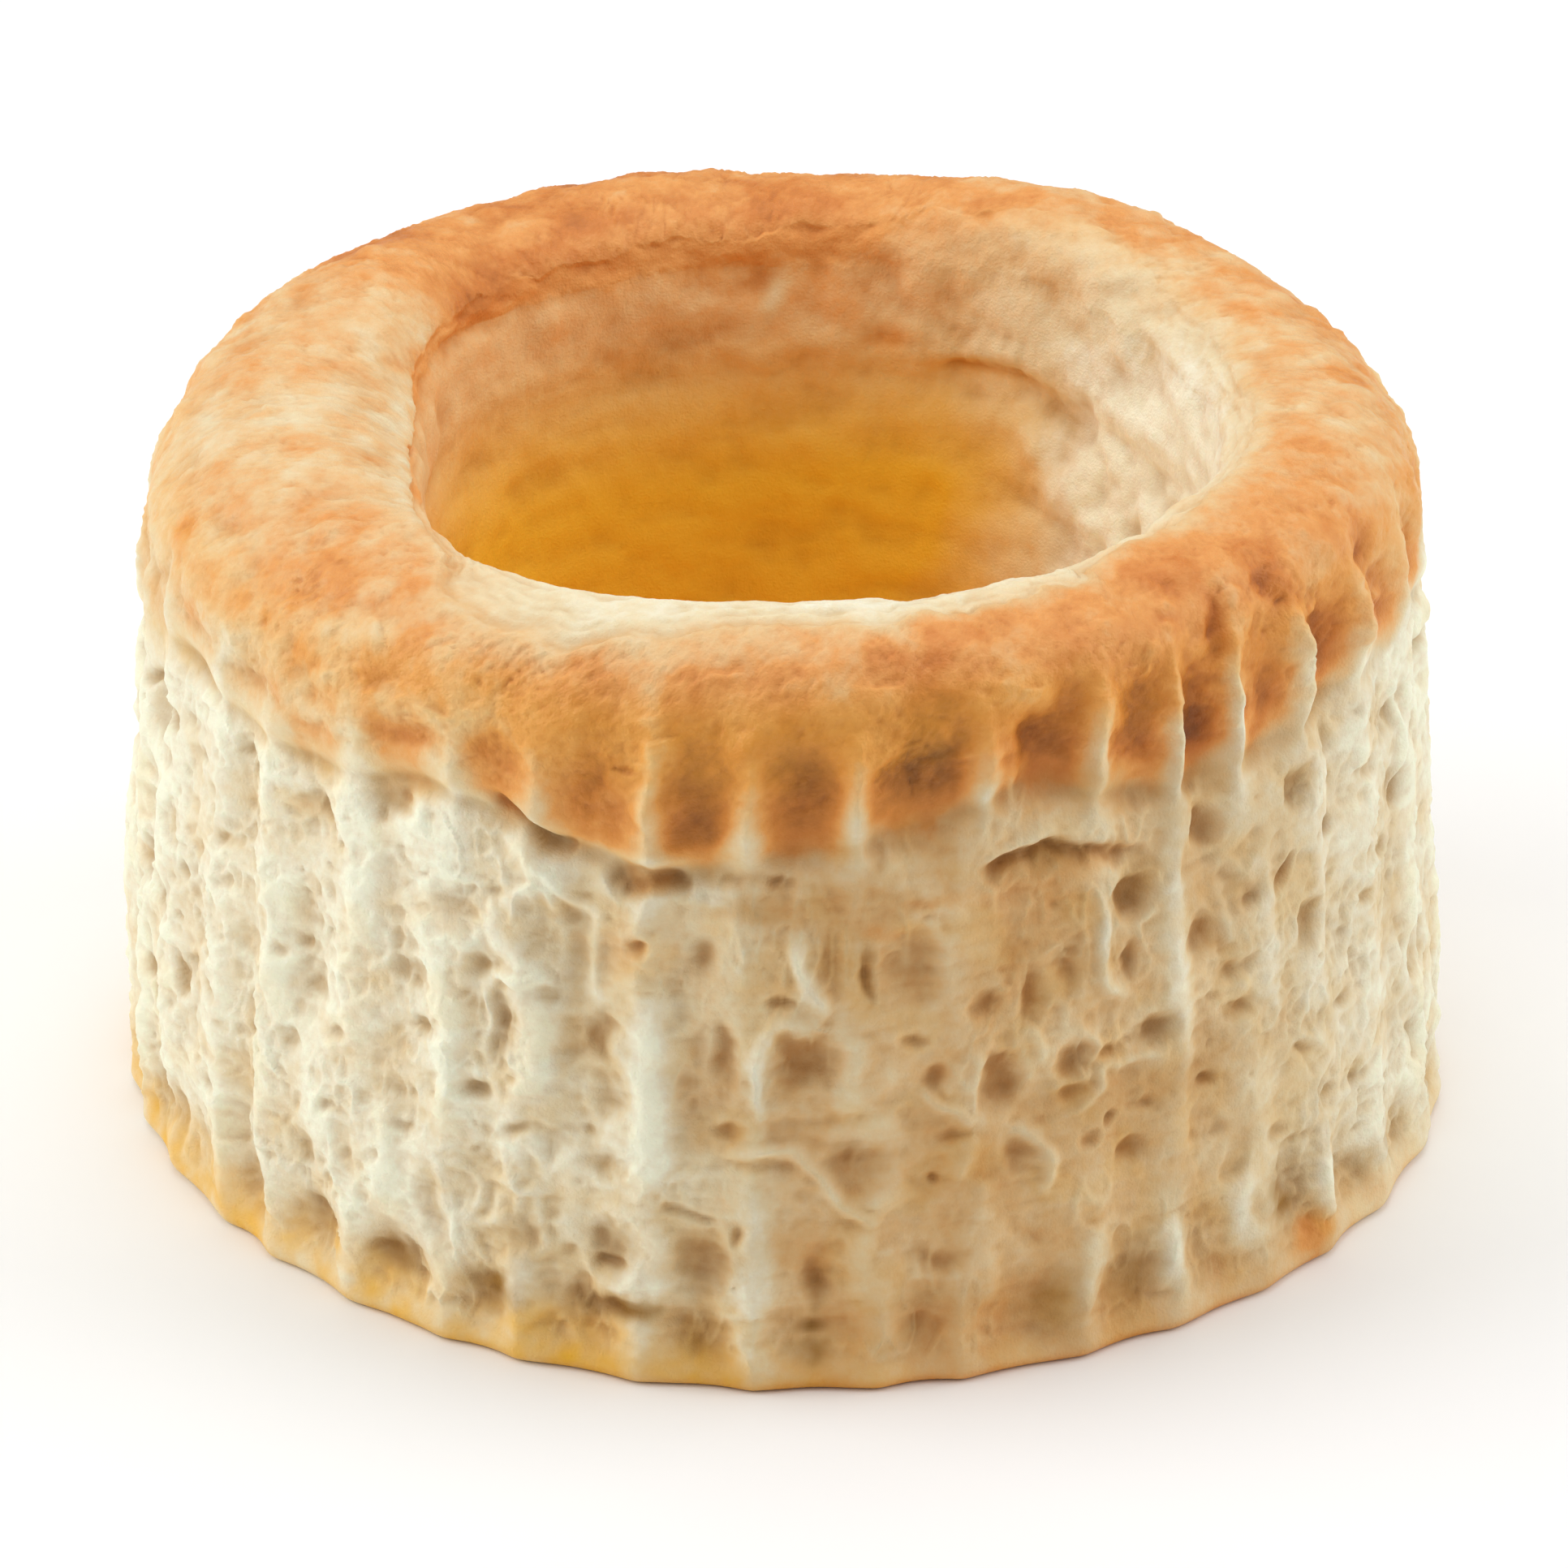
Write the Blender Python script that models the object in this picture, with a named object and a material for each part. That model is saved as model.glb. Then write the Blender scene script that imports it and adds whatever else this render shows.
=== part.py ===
"""An empty vol-au-vent case: one piece of puff pastry with a fluted wall, a domed crust and an open hollow.

Metres, +Z up. The origin is the middle of the flat base, and the side shown towards -Y is the front.
"""

import math
import random

import bmesh
import bpy
from mathutils import Vector, noise

# Driving dimensions of the case
WALL_TOP_RADIUS = 0.0385  # at the crust's margin
WALL_FLARE = 0.0018  # how much wider the wall is at the base
WALL_TOP = 0.0358  # mean height of the crust's margin
BASE_TUCK = 0.0008  # how far the bottom edge rounds in
BASE_TUCK_HEIGHT = 0.0040
CREST_RADIUS = 0.0295  # the highest ring of the crust
CREST_HEIGHT = 0.0456
CRUST_FULLNESS = 2.5  # exponent of the crust's rounded shoulder, where 2 is an ellipse
MOUTH_RADIUS = 0.0254  # the narrow edge of the rounded lip
MOUTH_HEIGHT = 0.0422
MOUTH_MIDDLE = (0.0010, -0.0004)  # the hollow was cut this far off the case's middle
LEDGE_RADIUS = 0.0246  # where the lifted lid tore off the layers below it
LEDGE_HEIGHT = 0.0368
LEDGE_UNDERCUT = 0.0009
LEDGE_DROP = 0.0016
FLOOR_RADIUS = 0.0212  # the hollow's wall where it meets the floor's curve
FLOOR_HEIGHT = 0.0135
FLOOR_CURVE = 0.0042
FLOOR_DIP = 0.0007

# The cutter's flutes: sharp ridges with round valleys between them
FLUTES = 38
STEPS_PER_FLUTE = 4
FLUTE_START = -0.25  # where the first ridge stands, in flutes from the front
FLUTE_UNEVENNESS = 0.14  # share of a flute that a ridge may stand off its place
FLUTE_DEPTH_BASE = 0.0011
FLUTE_DEPTH_WALL = 0.0005
FLUTE_DEPTH_CRUST = 0.0014
FLUTE_BASE_REACH = 0.0095  # height at which the base flutes have faded
FLUTE_CRUST_REACH = 0.0045  # how far below its margin the crust's flutes begin
DEEPEST_FLUTES = 42.0  # degrees from the front to the right, where the crust's flutes are deepest
DEEPER_FLUTES = 0.35  # how much deeper they are there, and shallower on the far side

# Where the crust's margin hangs lower or stands higher: (degrees to the right, rise, half width in degrees)
MARGIN_WAVES = (
    (-9.0, -0.0022, 11.0),
    (22.0, 0.0021, 8.0),
    (-32.0, 0.0014, 8.0),
    (62.0, 0.0006, 7.0),
    (-66.0, 0.0015, 9.0),
    (-85.0, -0.0018, 9.0),
    (104.0, -0.0014, 12.0),
    (137.0, 0.0012, 10.0),
    (170.0, -0.0011, 12.0),
    (206.0, 0.0013, 11.0),
    (238.0, -0.0012, 10.0),
)

# The crust's margin stands out over a recess at the top of the wall
RECESS_DEPTH = 0.0009
RECESS_DROP = 0.0013
RECESS_HALF_HEIGHT = 0.0012

# Slow unevenness round the case: (lobes, radius, height, phase in degrees)
LOBES = (
    (2, 0.00025, 0.00035, 20.0),
    (3, 0.00020, 0.00025, 140.0),
    (5, 0.00015, 0.00020, 75.0),
)
# Where the crest lies lower or higher: (degrees to the right, rise, half width in degrees)
CREST_WAVES = (
    (149.0, 0.0010, 17.0),
    (218.0, -0.00125, 18.0),
    (260.0, -0.00065, 12.0),
)
# Where the foot of the wall is drawn in: (degrees to the right, rise in radius, half width in degrees)
FOOT_WAVES = (
    (-64.0, -0.0011, 24.0),
    (-35.0, -0.0004, 20.0),
    (46.0, 0.0005, 30.0),
)
FOOT_REACH = 0.0120  # height at which the foot waves have faded
# Where the cut mouth runs wider or narrower: (degrees to the right, rise in radius, half width in degrees)
MOUTH_WAVES = (
    (-88.0, -0.0026, 28.0),
    (-37.0, 0.0015, 19.0),
    (-13.0, 0.0011, 13.0),
    (46.0, -0.0006, 24.0),
    (150.0, 0.0005, 30.0),
)
CRAG_SIZE = 0.0062
CRAG_HEIGHT = 0.00045

# Burst bubbles at the front of the wall:
# (degrees from the front to the right, height, half width, half height, depth)
FRONT_BUBBLES = (
    (-10.5, 0.0318, 0.0026, 0.0011, 0.0015),
    (-24.0, 0.0345, 0.0030, 0.0011, 0.0011),
    (26.0, 0.0316, 0.0052, 0.0012, 0.0013),
    (-24.5, 0.0280, 0.0030, 0.0026, 0.0009),
    (-6.0, 0.0200, 0.0015, 0.0062, 0.0010),
    (-15.0, 0.0185, 0.0014, 0.0048, 0.0009),
    (1.5, 0.0215, 0.0024, 0.0026, 0.0012),
    (12.5, 0.0258, 0.0028, 0.0032, 0.0008),
    (19.0, 0.0184, 0.0022, 0.0023, 0.0014),
    (23.5, 0.0250, 0.0022, 0.0028, 0.0010),
    (34.0, 0.0196, 0.0028, 0.0017, 0.0011),
    (43.0, 0.0212, 0.0024, 0.0026, 0.0010),
    (52.5, 0.0310, 0.0027, 0.0024, 0.0012),
    (8.5, 0.0140, 0.0024, 0.0020, 0.0010),
    (-5.8, 0.0080, 0.0019, 0.0036, 0.0010),
    (-25.5, 0.0190, 0.0018, 0.0042, 0.0009),
    (-34.0, 0.0210, 0.0022, 0.0028, 0.0007),
    (-36.0, 0.0335, 0.0020, 0.0018, 0.0010),
)
FRONT_HALF_ANGLE = 62.0
OTHER_BUBBLES = 34
BUBBLE_SEED = 11
BUBBLE_HEIGHTS = (0.0085, 0.0320)
BUBBLE_HALF_WIDTHS = (0.0018, 0.0042)
BUBBLE_HALF_HEIGHTS = (0.0014, 0.0036)
BUBBLE_DEPTHS = (0.0007, 0.0014)
FLUTE_SEED = 5

# How finely each stretch of the outline is divided
WALL_ROWS = 15
DOME_ROWS = 8
LIP_ROWS = 4
HOLLOW_ROWS = 6
FLOOR_CURVE_ROWS = 3
FLOOR_RINGS = (0.62, 0.28)

PASTRY_COLOUR = (0.70, 0.43, 0.20, 1.0)
PASTRY_ROUGHNESS = 0.75


def clear_scene():
    """Removes whatever the scene holds."""
    for obj in list(bpy.data.objects):
        bpy.data.objects.remove(obj)


def smooth_step(low, high, value):
    """0 below low and 1 above high, with a soft rise between."""
    share = min(1.0, max(0.0, (value - low) / (high - low)))
    return share * share * (3.0 - 2.0 * share)


def other_bubbles():
    """Burst bubbles on the sides and back, spread by a seeded draw."""
    draw = random.Random(BUBBLE_SEED)
    turn = (360.0 - 2.0 * FRONT_HALF_ANGLE) / OTHER_BUBBLES
    bubbles = []
    for i in range(OTHER_BUBBLES):
        bubbles.append((
            FRONT_HALF_ANGLE + turn * (i + draw.uniform(0.1, 0.9)),
            draw.uniform(*BUBBLE_HEIGHTS),
            draw.uniform(*BUBBLE_HALF_WIDTHS),
            draw.uniform(*BUBBLE_HALF_HEIGHTS),
            draw.uniform(*BUBBLE_DEPTHS),
        ))
    return bubbles


def flute_table():
    """For each flute its ridge's offset, and its valley's share of the depth at the base and at the crust."""
    draw = random.Random(FLUTE_SEED)
    rows = []
    for _ in range(FLUTES):
        rows.append((
            draw.uniform(-FLUTE_UNEVENNESS, FLUTE_UNEVENNESS),
            draw.uniform(0.65, 1.15),
            draw.uniform(0.60, 1.20),
        ))
    return rows


BUBBLES = list(FRONT_BUBBLES) + other_bubbles()
FLUTE_TABLE = flute_table()


def flute_angle(turn):
    """The angle, counted from the front to the right, of a place given in flutes."""
    first = int(math.floor(turn))
    share = turn - first
    start = FLUTE_TABLE[first % FLUTES][0]
    end = FLUTE_TABLE[(first + 1) % FLUTES][0]
    return 2.0 * math.pi * (turn + FLUTE_START + start + (end - start) * share) / FLUTES


def flute_valley(turn, column):
    """0 on a ridge and up to about 1 in the valley's middle, by the flute's own depth."""
    own = FLUTE_TABLE[int(math.floor(turn)) % FLUTES][column]
    return own * abs(math.sin(math.pi * turn))


def away(angle, degrees):
    """The signed angle from a place given in degrees."""
    return math.remainder(angle - math.radians(degrees), 2.0 * math.pi)


def crust_flutes(turn, angle):
    """How deep the crust's flutes cut in at a place round its margin."""
    side = 1.0 + DEEPER_FLUTES * math.cos(away(angle, DEEPEST_FLUTES))
    return FLUTE_DEPTH_CRUST * side * flute_valley(turn, 2)


def wave(angle, waves):
    """The sum of bell-shaped waves round the case at an angle."""
    total = 0.0
    for degrees, rise, half_width in waves:
        off = away(angle, degrees) / math.radians(half_width)
        total += rise * math.exp(-off * off)
    return total


def margin_height(angle):
    """The height of the crust's wavy margin."""
    return WALL_TOP + wave(angle, MARGIN_WAVES)


def lobes(angle, column):
    """The slow unevenness at an angle: of the radius for column 1, of the height for column 2."""
    return sum(lobe[column] * math.sin(lobe[0] * angle + math.radians(lobe[3])) for lobe in LOBES)


def crag(x, y, z):
    """The uneven surface that the puffed layers leave."""
    return CRAG_HEIGHT * noise.noise(Vector((x, y, z)) / CRAG_SIZE)


def wall_radius(height):
    """The wall's radius on the ridges: a straight flare towards the base, with a tucked bottom edge."""
    radius = WALL_TOP_RADIUS + WALL_FLARE * (WALL_TOP - height) / WALL_TOP
    tuck = max(0.0, 1.0 - height / BASE_TUCK_HEIGHT)
    return radius - BASE_TUCK * tuck * tuck


def recess(below_margin):
    """The groove under the crust's margin."""
    off = (below_margin - RECESS_DROP) / RECESS_HALF_HEIGHT
    return RECESS_DEPTH * math.exp(-off * off)


def bubble_depth(angle, height):
    """How deep the burst bubbles reach at a place on the wall."""
    deepest = 0.0
    for degrees, middle, half_width, half_height, depth in BUBBLES:
        across = away(angle, degrees) * wall_radius(height) / half_width
        along = (height - middle) / half_height
        reach = across * across + along * along
        deepest = max(deepest, depth * math.exp(-reach * reach))
    return deepest


def wall_point(turn, share):
    """A point of the fluted wall, from the base at share 0 to the recess under the crust at share 1."""
    angle = flute_angle(turn)
    margin = margin_height(angle)
    height = (margin - RECESS_DROP) * share
    at_base = 1.0 - smooth_step(0.0, FLUTE_BASE_REACH, height)
    at_crust = smooth_step(margin - FLUTE_CRUST_REACH, margin, height)
    radius = wall_radius(height) + lobes(angle, 1)
    radius += wave(angle, FOOT_WAVES) * (1.0 - smooth_step(0.0, FOOT_REACH, height))
    radius -= flute_valley(turn, 1) * (FLUTE_DEPTH_WALL * (1.0 - at_crust) + FLUTE_DEPTH_BASE * at_base)
    radius -= crust_flutes(turn, angle) * at_crust
    radius -= recess(margin - height) + bubble_depth(angle, height)
    x, y = radius * math.sin(angle), -radius * math.cos(angle)
    if height > 0.0:
        swell = crag(x, y, height) * smooth_step(0.0, BASE_TUCK_HEIGHT, height)
        x, y = x + swell * math.sin(angle), y - swell * math.cos(angle)
    lift = lobes(angle, 2) * smooth_step(0.0, WALL_TOP, height)
    return Vector((x, y, height + lift))


def dome_point(turn, share):
    """A point of the crust, from its margin at share 0 to its crest at share 1."""
    angle = flute_angle(turn)
    slope = share * math.pi / 2.0
    across = max(0.0, math.cos(slope)) ** (2.0 / CRUST_FULLNESS)
    up = math.sin(slope) ** (2.0 / CRUST_FULLNESS)
    margin = margin_height(angle)
    radius = CREST_RADIUS + (WALL_TOP_RADIUS - CREST_RADIUS) * across + lobes(angle, 1)
    crest = CREST_HEIGHT + wave(angle, CREST_WAVES)
    height = margin + (crest - margin) * up + lobes(angle, 2)
    radius -= crust_flutes(turn, angle) * math.cos(slope) ** 2
    x = MOUTH_MIDDLE[0] * math.sin(slope) ** 2 + radius * math.sin(angle)
    y = MOUTH_MIDDLE[1] * math.sin(slope) ** 2 - radius * math.cos(angle)
    swell = crag(x, y, height)
    return Vector((
        x + swell * math.cos(slope) * math.sin(angle),
        y - swell * math.cos(slope) * math.cos(angle),
        height + swell * math.sin(slope),
    ))


def hollow_point(turn, radius, height):
    """A point of the lip, the hollow's wall or its floor, round the hollow's own middle."""
    angle = flute_angle(turn)
    rise = smooth_step(FLOOR_HEIGHT, MOUTH_HEIGHT, height)
    spread = min(1.0, radius / MOUTH_RADIUS)
    cut = 1.0 - smooth_step(MOUTH_RADIUS, CREST_RADIUS, radius)
    radius += lobes(angle, 1) * spread + wave(angle, MOUTH_WAVES) * spread * rise * cut
    x = MOUTH_MIDDLE[0] + radius * math.sin(angle)
    y = MOUTH_MIDDLE[1] - radius * math.cos(angle)
    swell = crag(x, y, height)
    inward = swell * spread * rise
    return Vector((
        x - inward * math.sin(angle),
        y + inward * math.cos(angle),
        height + (lobes(angle, 2) + wave(angle, CREST_WAVES)) * rise + swell * (1.0 - rise),
    ))


def ring(bm, points):
    """One closed row of vertices."""
    return [bm.verts.new(point) for point in points]


def bridge(bm, first, second):
    """Joins two rows of equal length by faces. The second row lies further along the outline."""
    count = len(first)
    for i in range(count):
        after = (i + 1) % count
        bm.faces.new((first[i], first[after], second[after], second[i]))


def bridge_to_half(bm, fine, coarse):
    """Joins a row to one with half as many vertices."""
    count = len(coarse)
    for i in range(count):
        after = (i + 1) % count
        left, middle, right = fine[2 * i], fine[2 * i + 1], fine[(2 * i + 2) % len(fine)]
        bm.faces.new((left, middle, coarse[i]))
        bm.faces.new((middle, coarse[after], coarse[i]))
        bm.faces.new((middle, right, coarse[after]))


def outer_rows():
    """The rows of the wall, the crust and the lip, from the base up and over into the mouth."""
    turns = [i / STEPS_PER_FLUTE for i in range(FLUTES * STEPS_PER_FLUTE)]
    rows = []
    for row in range(WALL_ROWS):
        rows.append([wall_point(turn, row / (WALL_ROWS - 1)) for turn in turns])
    for row in range(DOME_ROWS + 1):
        rows.append([dome_point(turn, row / DOME_ROWS) for turn in turns])
    for row in range(1, LIP_ROWS + 1):
        slope = (1.0 - row / LIP_ROWS) * math.pi / 2.0
        radius = CREST_RADIUS - (CREST_RADIUS - MOUTH_RADIUS) * math.cos(slope)
        height = MOUTH_HEIGHT + (CREST_HEIGHT - MOUTH_HEIGHT) * math.sin(slope)
        rows.append([hollow_point(turn, radius, height) for turn in turns])
    return rows


def hollow_outline():
    """(radius, height) of the hollow's rows, from below the mouth to the floor."""
    below_ledge = LEDGE_HEIGHT - LEDGE_DROP
    outline = [
        (LEDGE_RADIUS, LEDGE_HEIGHT),
        (LEDGE_RADIUS + LEDGE_UNDERCUT, below_ledge),
    ]
    curve_top = FLOOR_HEIGHT + FLOOR_CURVE
    for row in range(1, HOLLOW_ROWS + 1):
        share = row / HOLLOW_ROWS
        radius = outline[1][0] + (FLOOR_RADIUS - outline[1][0]) * share
        outline.append((radius, below_ledge + (curve_top - below_ledge) * share))
    for row in range(1, FLOOR_CURVE_ROWS + 1):
        slope = row / FLOOR_CURVE_ROWS * math.pi / 2.0
        outline.append((
            FLOOR_RADIUS - FLOOR_CURVE * (1.0 - math.cos(slope)),
            curve_top - FLOOR_CURVE * math.sin(slope),
        ))
    inner = FLOOR_RADIUS - FLOOR_CURVE
    for share in FLOOR_RINGS:
        outline.append((inner * share, FLOOR_HEIGHT - FLOOR_DIP * (1.0 - share)))
    return outline


def case_mesh():
    """The closed surface of the case, centred on its bounding box."""
    bm = bmesh.new()
    rows = [ring(bm, points) for points in outer_rows()]
    for lower, upper in zip(rows, rows[1:]):
        bridge(bm, lower, upper)
    bm.faces.new(rows[0][::-1])

    coarse_turns = [2 * i / STEPS_PER_FLUTE for i in range(FLUTES * STEPS_PER_FLUTE // 2)]
    hollow = []
    for radius, height in hollow_outline():
        hollow.append(ring(bm, [hollow_point(turn, radius, height) for turn in coarse_turns]))
    bridge_to_half(bm, rows[-1], hollow[0])
    for upper, lower in zip(hollow, hollow[1:]):
        bridge(bm, upper, lower)
    middle = bm.verts.new(Vector((*MOUTH_MIDDLE, FLOOR_HEIGHT - FLOOR_DIP)))
    last = hollow[-1]
    for i, corner in enumerate(last):
        bm.faces.new((corner, last[(i + 1) % len(last)], middle))

    for axis in (0, 1):
        reach = [vert.co[axis] for vert in bm.verts]
        offset = (min(reach) + max(reach)) / 2.0
        for vert in bm.verts:
            vert.co[axis] -= offset
    bmesh.ops.triangulate(bm, faces=bm.faces)
    bmesh.ops.recalc_face_normals(bm, faces=bm.faces)
    mesh = bpy.data.meshes.new("pastry_case")
    bm.to_mesh(mesh)
    bm.free()
    return mesh


def pastry_material():
    """Baked puff pastry, in the mean colour of its wall and crust."""
    material = bpy.data.materials.new("baked_pastry")
    material.use_nodes = True
    shader = material.node_tree.nodes["Principled BSDF"]
    shader.inputs["Base Color"].default_value = PASTRY_COLOUR
    shader.inputs["Roughness"].default_value = PASTRY_ROUGHNESS
    shader.inputs["Metallic"].default_value = 0.0
    return material


def build():
    """Builds the case as one object."""
    clear_scene()
    mesh = case_mesh()
    mesh.materials.append(pastry_material())
    mesh.shade_smooth()
    case = bpy.data.objects.new("pastry_case", mesh)
    bpy.context.scene.collection.objects.link(case)


build()
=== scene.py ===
"""A baked vol-au-vent case on a pale floor in soft studio light.

The case is one skin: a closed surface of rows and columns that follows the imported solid, with the flutes,
burst bubbles, flaky layers, blistered crust and torn lip of baked puff pastry as real relief. Sizes are in
millimetres until the meshes are made. Angles count from the front, -Y, to the right.
"""

import logging
import math
import random
from dataclasses import dataclass
from enum import Enum

import bpy
import numpy as np
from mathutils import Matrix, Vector


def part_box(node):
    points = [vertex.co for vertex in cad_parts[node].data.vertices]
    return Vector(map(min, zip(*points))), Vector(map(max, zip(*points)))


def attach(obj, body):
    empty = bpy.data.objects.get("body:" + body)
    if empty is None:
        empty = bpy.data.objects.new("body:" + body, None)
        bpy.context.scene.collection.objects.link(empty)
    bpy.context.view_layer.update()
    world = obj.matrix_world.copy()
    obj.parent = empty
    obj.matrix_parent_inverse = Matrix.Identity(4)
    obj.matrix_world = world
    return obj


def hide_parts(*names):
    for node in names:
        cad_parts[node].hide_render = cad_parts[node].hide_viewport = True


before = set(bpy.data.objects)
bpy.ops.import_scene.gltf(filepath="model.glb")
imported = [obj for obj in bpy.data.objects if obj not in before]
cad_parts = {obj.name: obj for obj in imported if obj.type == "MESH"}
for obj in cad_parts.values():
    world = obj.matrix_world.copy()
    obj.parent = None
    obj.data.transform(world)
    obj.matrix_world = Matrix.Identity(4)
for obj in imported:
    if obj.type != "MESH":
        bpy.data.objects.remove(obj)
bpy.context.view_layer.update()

NODE = "pastry_case"
BODY = "root"
MM = 0.001
# Radii that turn angles into lengths: round the wall, on the crust, along the lip and in the hollow
MEAN_RADIUS = 39.0
CRUST_RADIUS = 34.0
LIP_RADIUS = 28.0
HOLLOW_RADIUS = 25.0

Array = np.ndarray
Colour = tuple[float, float, float]
Table = tuple[tuple[float, float], ...]  # (degrees, value)
Waves = tuple[tuple[float, float, float], ...]  # (degrees, rise, half width in degrees)
Ripple = tuple[float, int, float | tuple[float, float, float]]  # (height, seed, length of a wave)
Span = tuple[float, float]  # the least and the most of a random draw
log = logging.getLogger("vol_au_vent_case")


def ease(low: float, high: float, value: Array) -> Array:
    """A soft step.

    Args:
        low: Where the step starts.
        high: Where the step ends.
        value: Places along it.

    Returns:
        0 before low, 1 after high and a smooth rise between.
    """
    share = np.clip((value - low) / (high - low), 0.0, 1.0)
    return share * share * (3.0 - 2.0 * share)


def bump(off: Array, half_width: float) -> Array:
    """A bell curve that is 1 where off is 0."""
    return np.exp(-((off / half_width) ** 2))


def short_way(off: Array, circle: float) -> Array:
    """The shorter way round a circle of this length, with its sign."""
    return (off + circle / 2.0) % circle - circle / 2.0


def away(angle: Array, degrees: float) -> Array:
    """The signed angle in degrees from a place given in degrees."""
    return short_way(np.degrees(angle) - degrees, 360.0)


def mix(first: Array, second: Array, share: Array) -> Array:
    """Blends two fields by a share from 0 to 1."""
    return first + (second - first) * share


def around(angle: Array, table: Table) -> Array:
    """The value at each angle in radians, on straight runs between a table's pairs."""
    places, values = zip(*table)
    return np.interp(np.degrees(angle), places, values, period=360.0)


def lengths_along(way: Array) -> Array:
    """How far along a way each of its points lies."""
    return np.concatenate([[0.0], np.cumsum(np.linalg.norm(np.diff(way, axis=0), axis=1))])


def sheet_faces(number: Array) -> Array:
    """The four point numbers of each face of a grid of numbered points."""
    return np.stack([number[:-1, :-1], number[:-1, 1:], number[1:, 1:], number[1:, :-1]], -1)


def joined_round(number: Array) -> Array:
    """A grid of point numbers with its first column again at its end."""
    return np.concatenate([number, number[:, :1]], axis=1)


def soften(grid: Array, rows: int, columns: int) -> Array:
    """Blurs a field over the skin.

    Args:
        grid: The field, with one row for each row of the skin. Columns run round the case.
        rows: Half the blur's reach in rows.
        columns: Half the blur's reach in columns.

    Returns:
        The blurred field.
    """
    for _ in range(2):
        padded = np.concatenate([grid[:, -columns - 1:], grid, grid[:, :columns]], axis=1)
        total = np.cumsum(padded, axis=1)
        grid = (total[:, 2 * columns + 1:] - total[:, :-2 * columns - 1]) / (2 * columns + 1)
        padded = np.concatenate([grid[:1].repeat(rows + 1, 0), grid, grid[-1:].repeat(rows, 0)], axis=0)
        total = np.cumsum(padded, axis=0)
        grid = (total[2 * rows + 1:] - total[:-2 * rows - 1]) / (2 * rows + 1)
    return grid


@dataclass(frozen=True)
class Grain:
    """Seeded unevenness that is worked out anywhere in space."""

    seed: int

    def scatter(self, *lattice: Array) -> Array:
        """Draws a random number for each place of a lattice.

        Args:
            lattice: The places' whole numbers along each axis.

        Returns:
            The random numbers, as unsigned integers.
        """
        mixed = np.full(np.shape(lattice[0]), self.seed * 2654435761 + 97, np.uint64)
        for axis in lattice:
            mixed = (mixed ^ axis.astype(np.int64).view(np.uint64)) * np.uint64(0x9E3779B97F4A7C15)
            mixed = mixed ^ (mixed >> np.uint64(29))
        mixed = mixed * np.uint64(0xBF58476D1CE4E5B9)
        return mixed ^ (mixed >> np.uint64(32))

    @staticmethod
    def chance(mixed: Array, draw: int) -> Array:
        """One of three shares from 0 to 1 held in a random number."""
        return ((mixed >> np.uint64(16 * draw)) & np.uint64(0xFFFF)).astype(np.float64) / 65535.0

    def waves(self, points: Array, size: float | tuple[float, float, float]) -> Array:
        """Smooth unevenness.

        Args:
            points: Places, with x, y and z last.
            size: How long a wave is, in all or in each direction.

        Returns:
            Values mostly between -1 and 1.
        """
        scaled = points / np.asarray(size)
        base = np.floor(scaled)
        part = scaled - base
        soft = part * part * part * (part * (part * 6.0 - 15.0) + 10.0)
        total = np.zeros(points.shape[:-1])
        for corner in range(8):
            step = [(corner >> axis) & 1 for axis in range(3)]
            mixed = self.scatter(*(base[..., axis] + step[axis] for axis in range(3)))
            weight, slope = 1.0, 0.0
            for axis in range(3):
                weight = weight * (soft[..., axis] if step[axis] else 1.0 - soft[..., axis])
                slope = slope + (self.chance(mixed, axis) * 2.0 - 1.0) * (part[..., axis] - step[axis])
            total += weight * slope
        return total * 2.0

    def layered(self, points: Array, size: float, octaves: int = 3) -> Array:
        """Waves with finer and lower waves on them.

        Args:
            points: Places, with x, y and z last.
            size: How long the longest wave is.
            octaves: How many sizes of wave there are, each half as long and high as the last.

        Returns:
            Values mostly between -1 and 1.
        """
        total, weight = 0.0, 0.0
        for octave in range(octaves):
            share = 0.5 ** octave
            total = total + share * Grain(self.seed + 31 * octave).waves(points, size * share)
            weight += share
        return total / weight

    def cells(self, across: Array, along: Array, size: float, wrap: int) -> tuple[Array, Array]:
        """Irregular cells over the wall, like bubbles pressed together.

        Args:
            across: Lengths round the wall.
            along: Heights.
            size: How high a cell is.
            wrap: How many cells go round the case.

        Returns:
            How much further the next cell's middle is than the nearest one's, and the nearest cell's own
            chance.
        """
        across = across / (2.0 * math.pi * MEAN_RADIUS) * wrap
        along = along / size
        left, low = np.floor(across), np.floor(along)
        first = np.full(across.shape, 9.0)
        second = np.full(across.shape, 9.0)
        own = np.zeros(across.shape)
        for column in (-1, 0, 1):
            for row in (-1, 0, 1):
                mixed = self.scatter((left + column) % wrap, low + row)
                distance = np.hypot(left + column + self.chance(mixed, 0) - across,
                                    low + row + self.chance(mixed, 1) - along)
                nearer = distance < first
                second = np.where(nearer, first, np.minimum(second, distance))
                own = np.where(nearer, self.chance(mixed, 2), own)
                first = np.minimum(first, distance)
        return second - first, own


def uneven(points: Array, *ripples: Ripple) -> Array:
    """The sum of waves, each given by its height, seed and length."""
    return sum(height * Grain(seed).waves(points, length) for height, seed, length in ripples)


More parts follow.
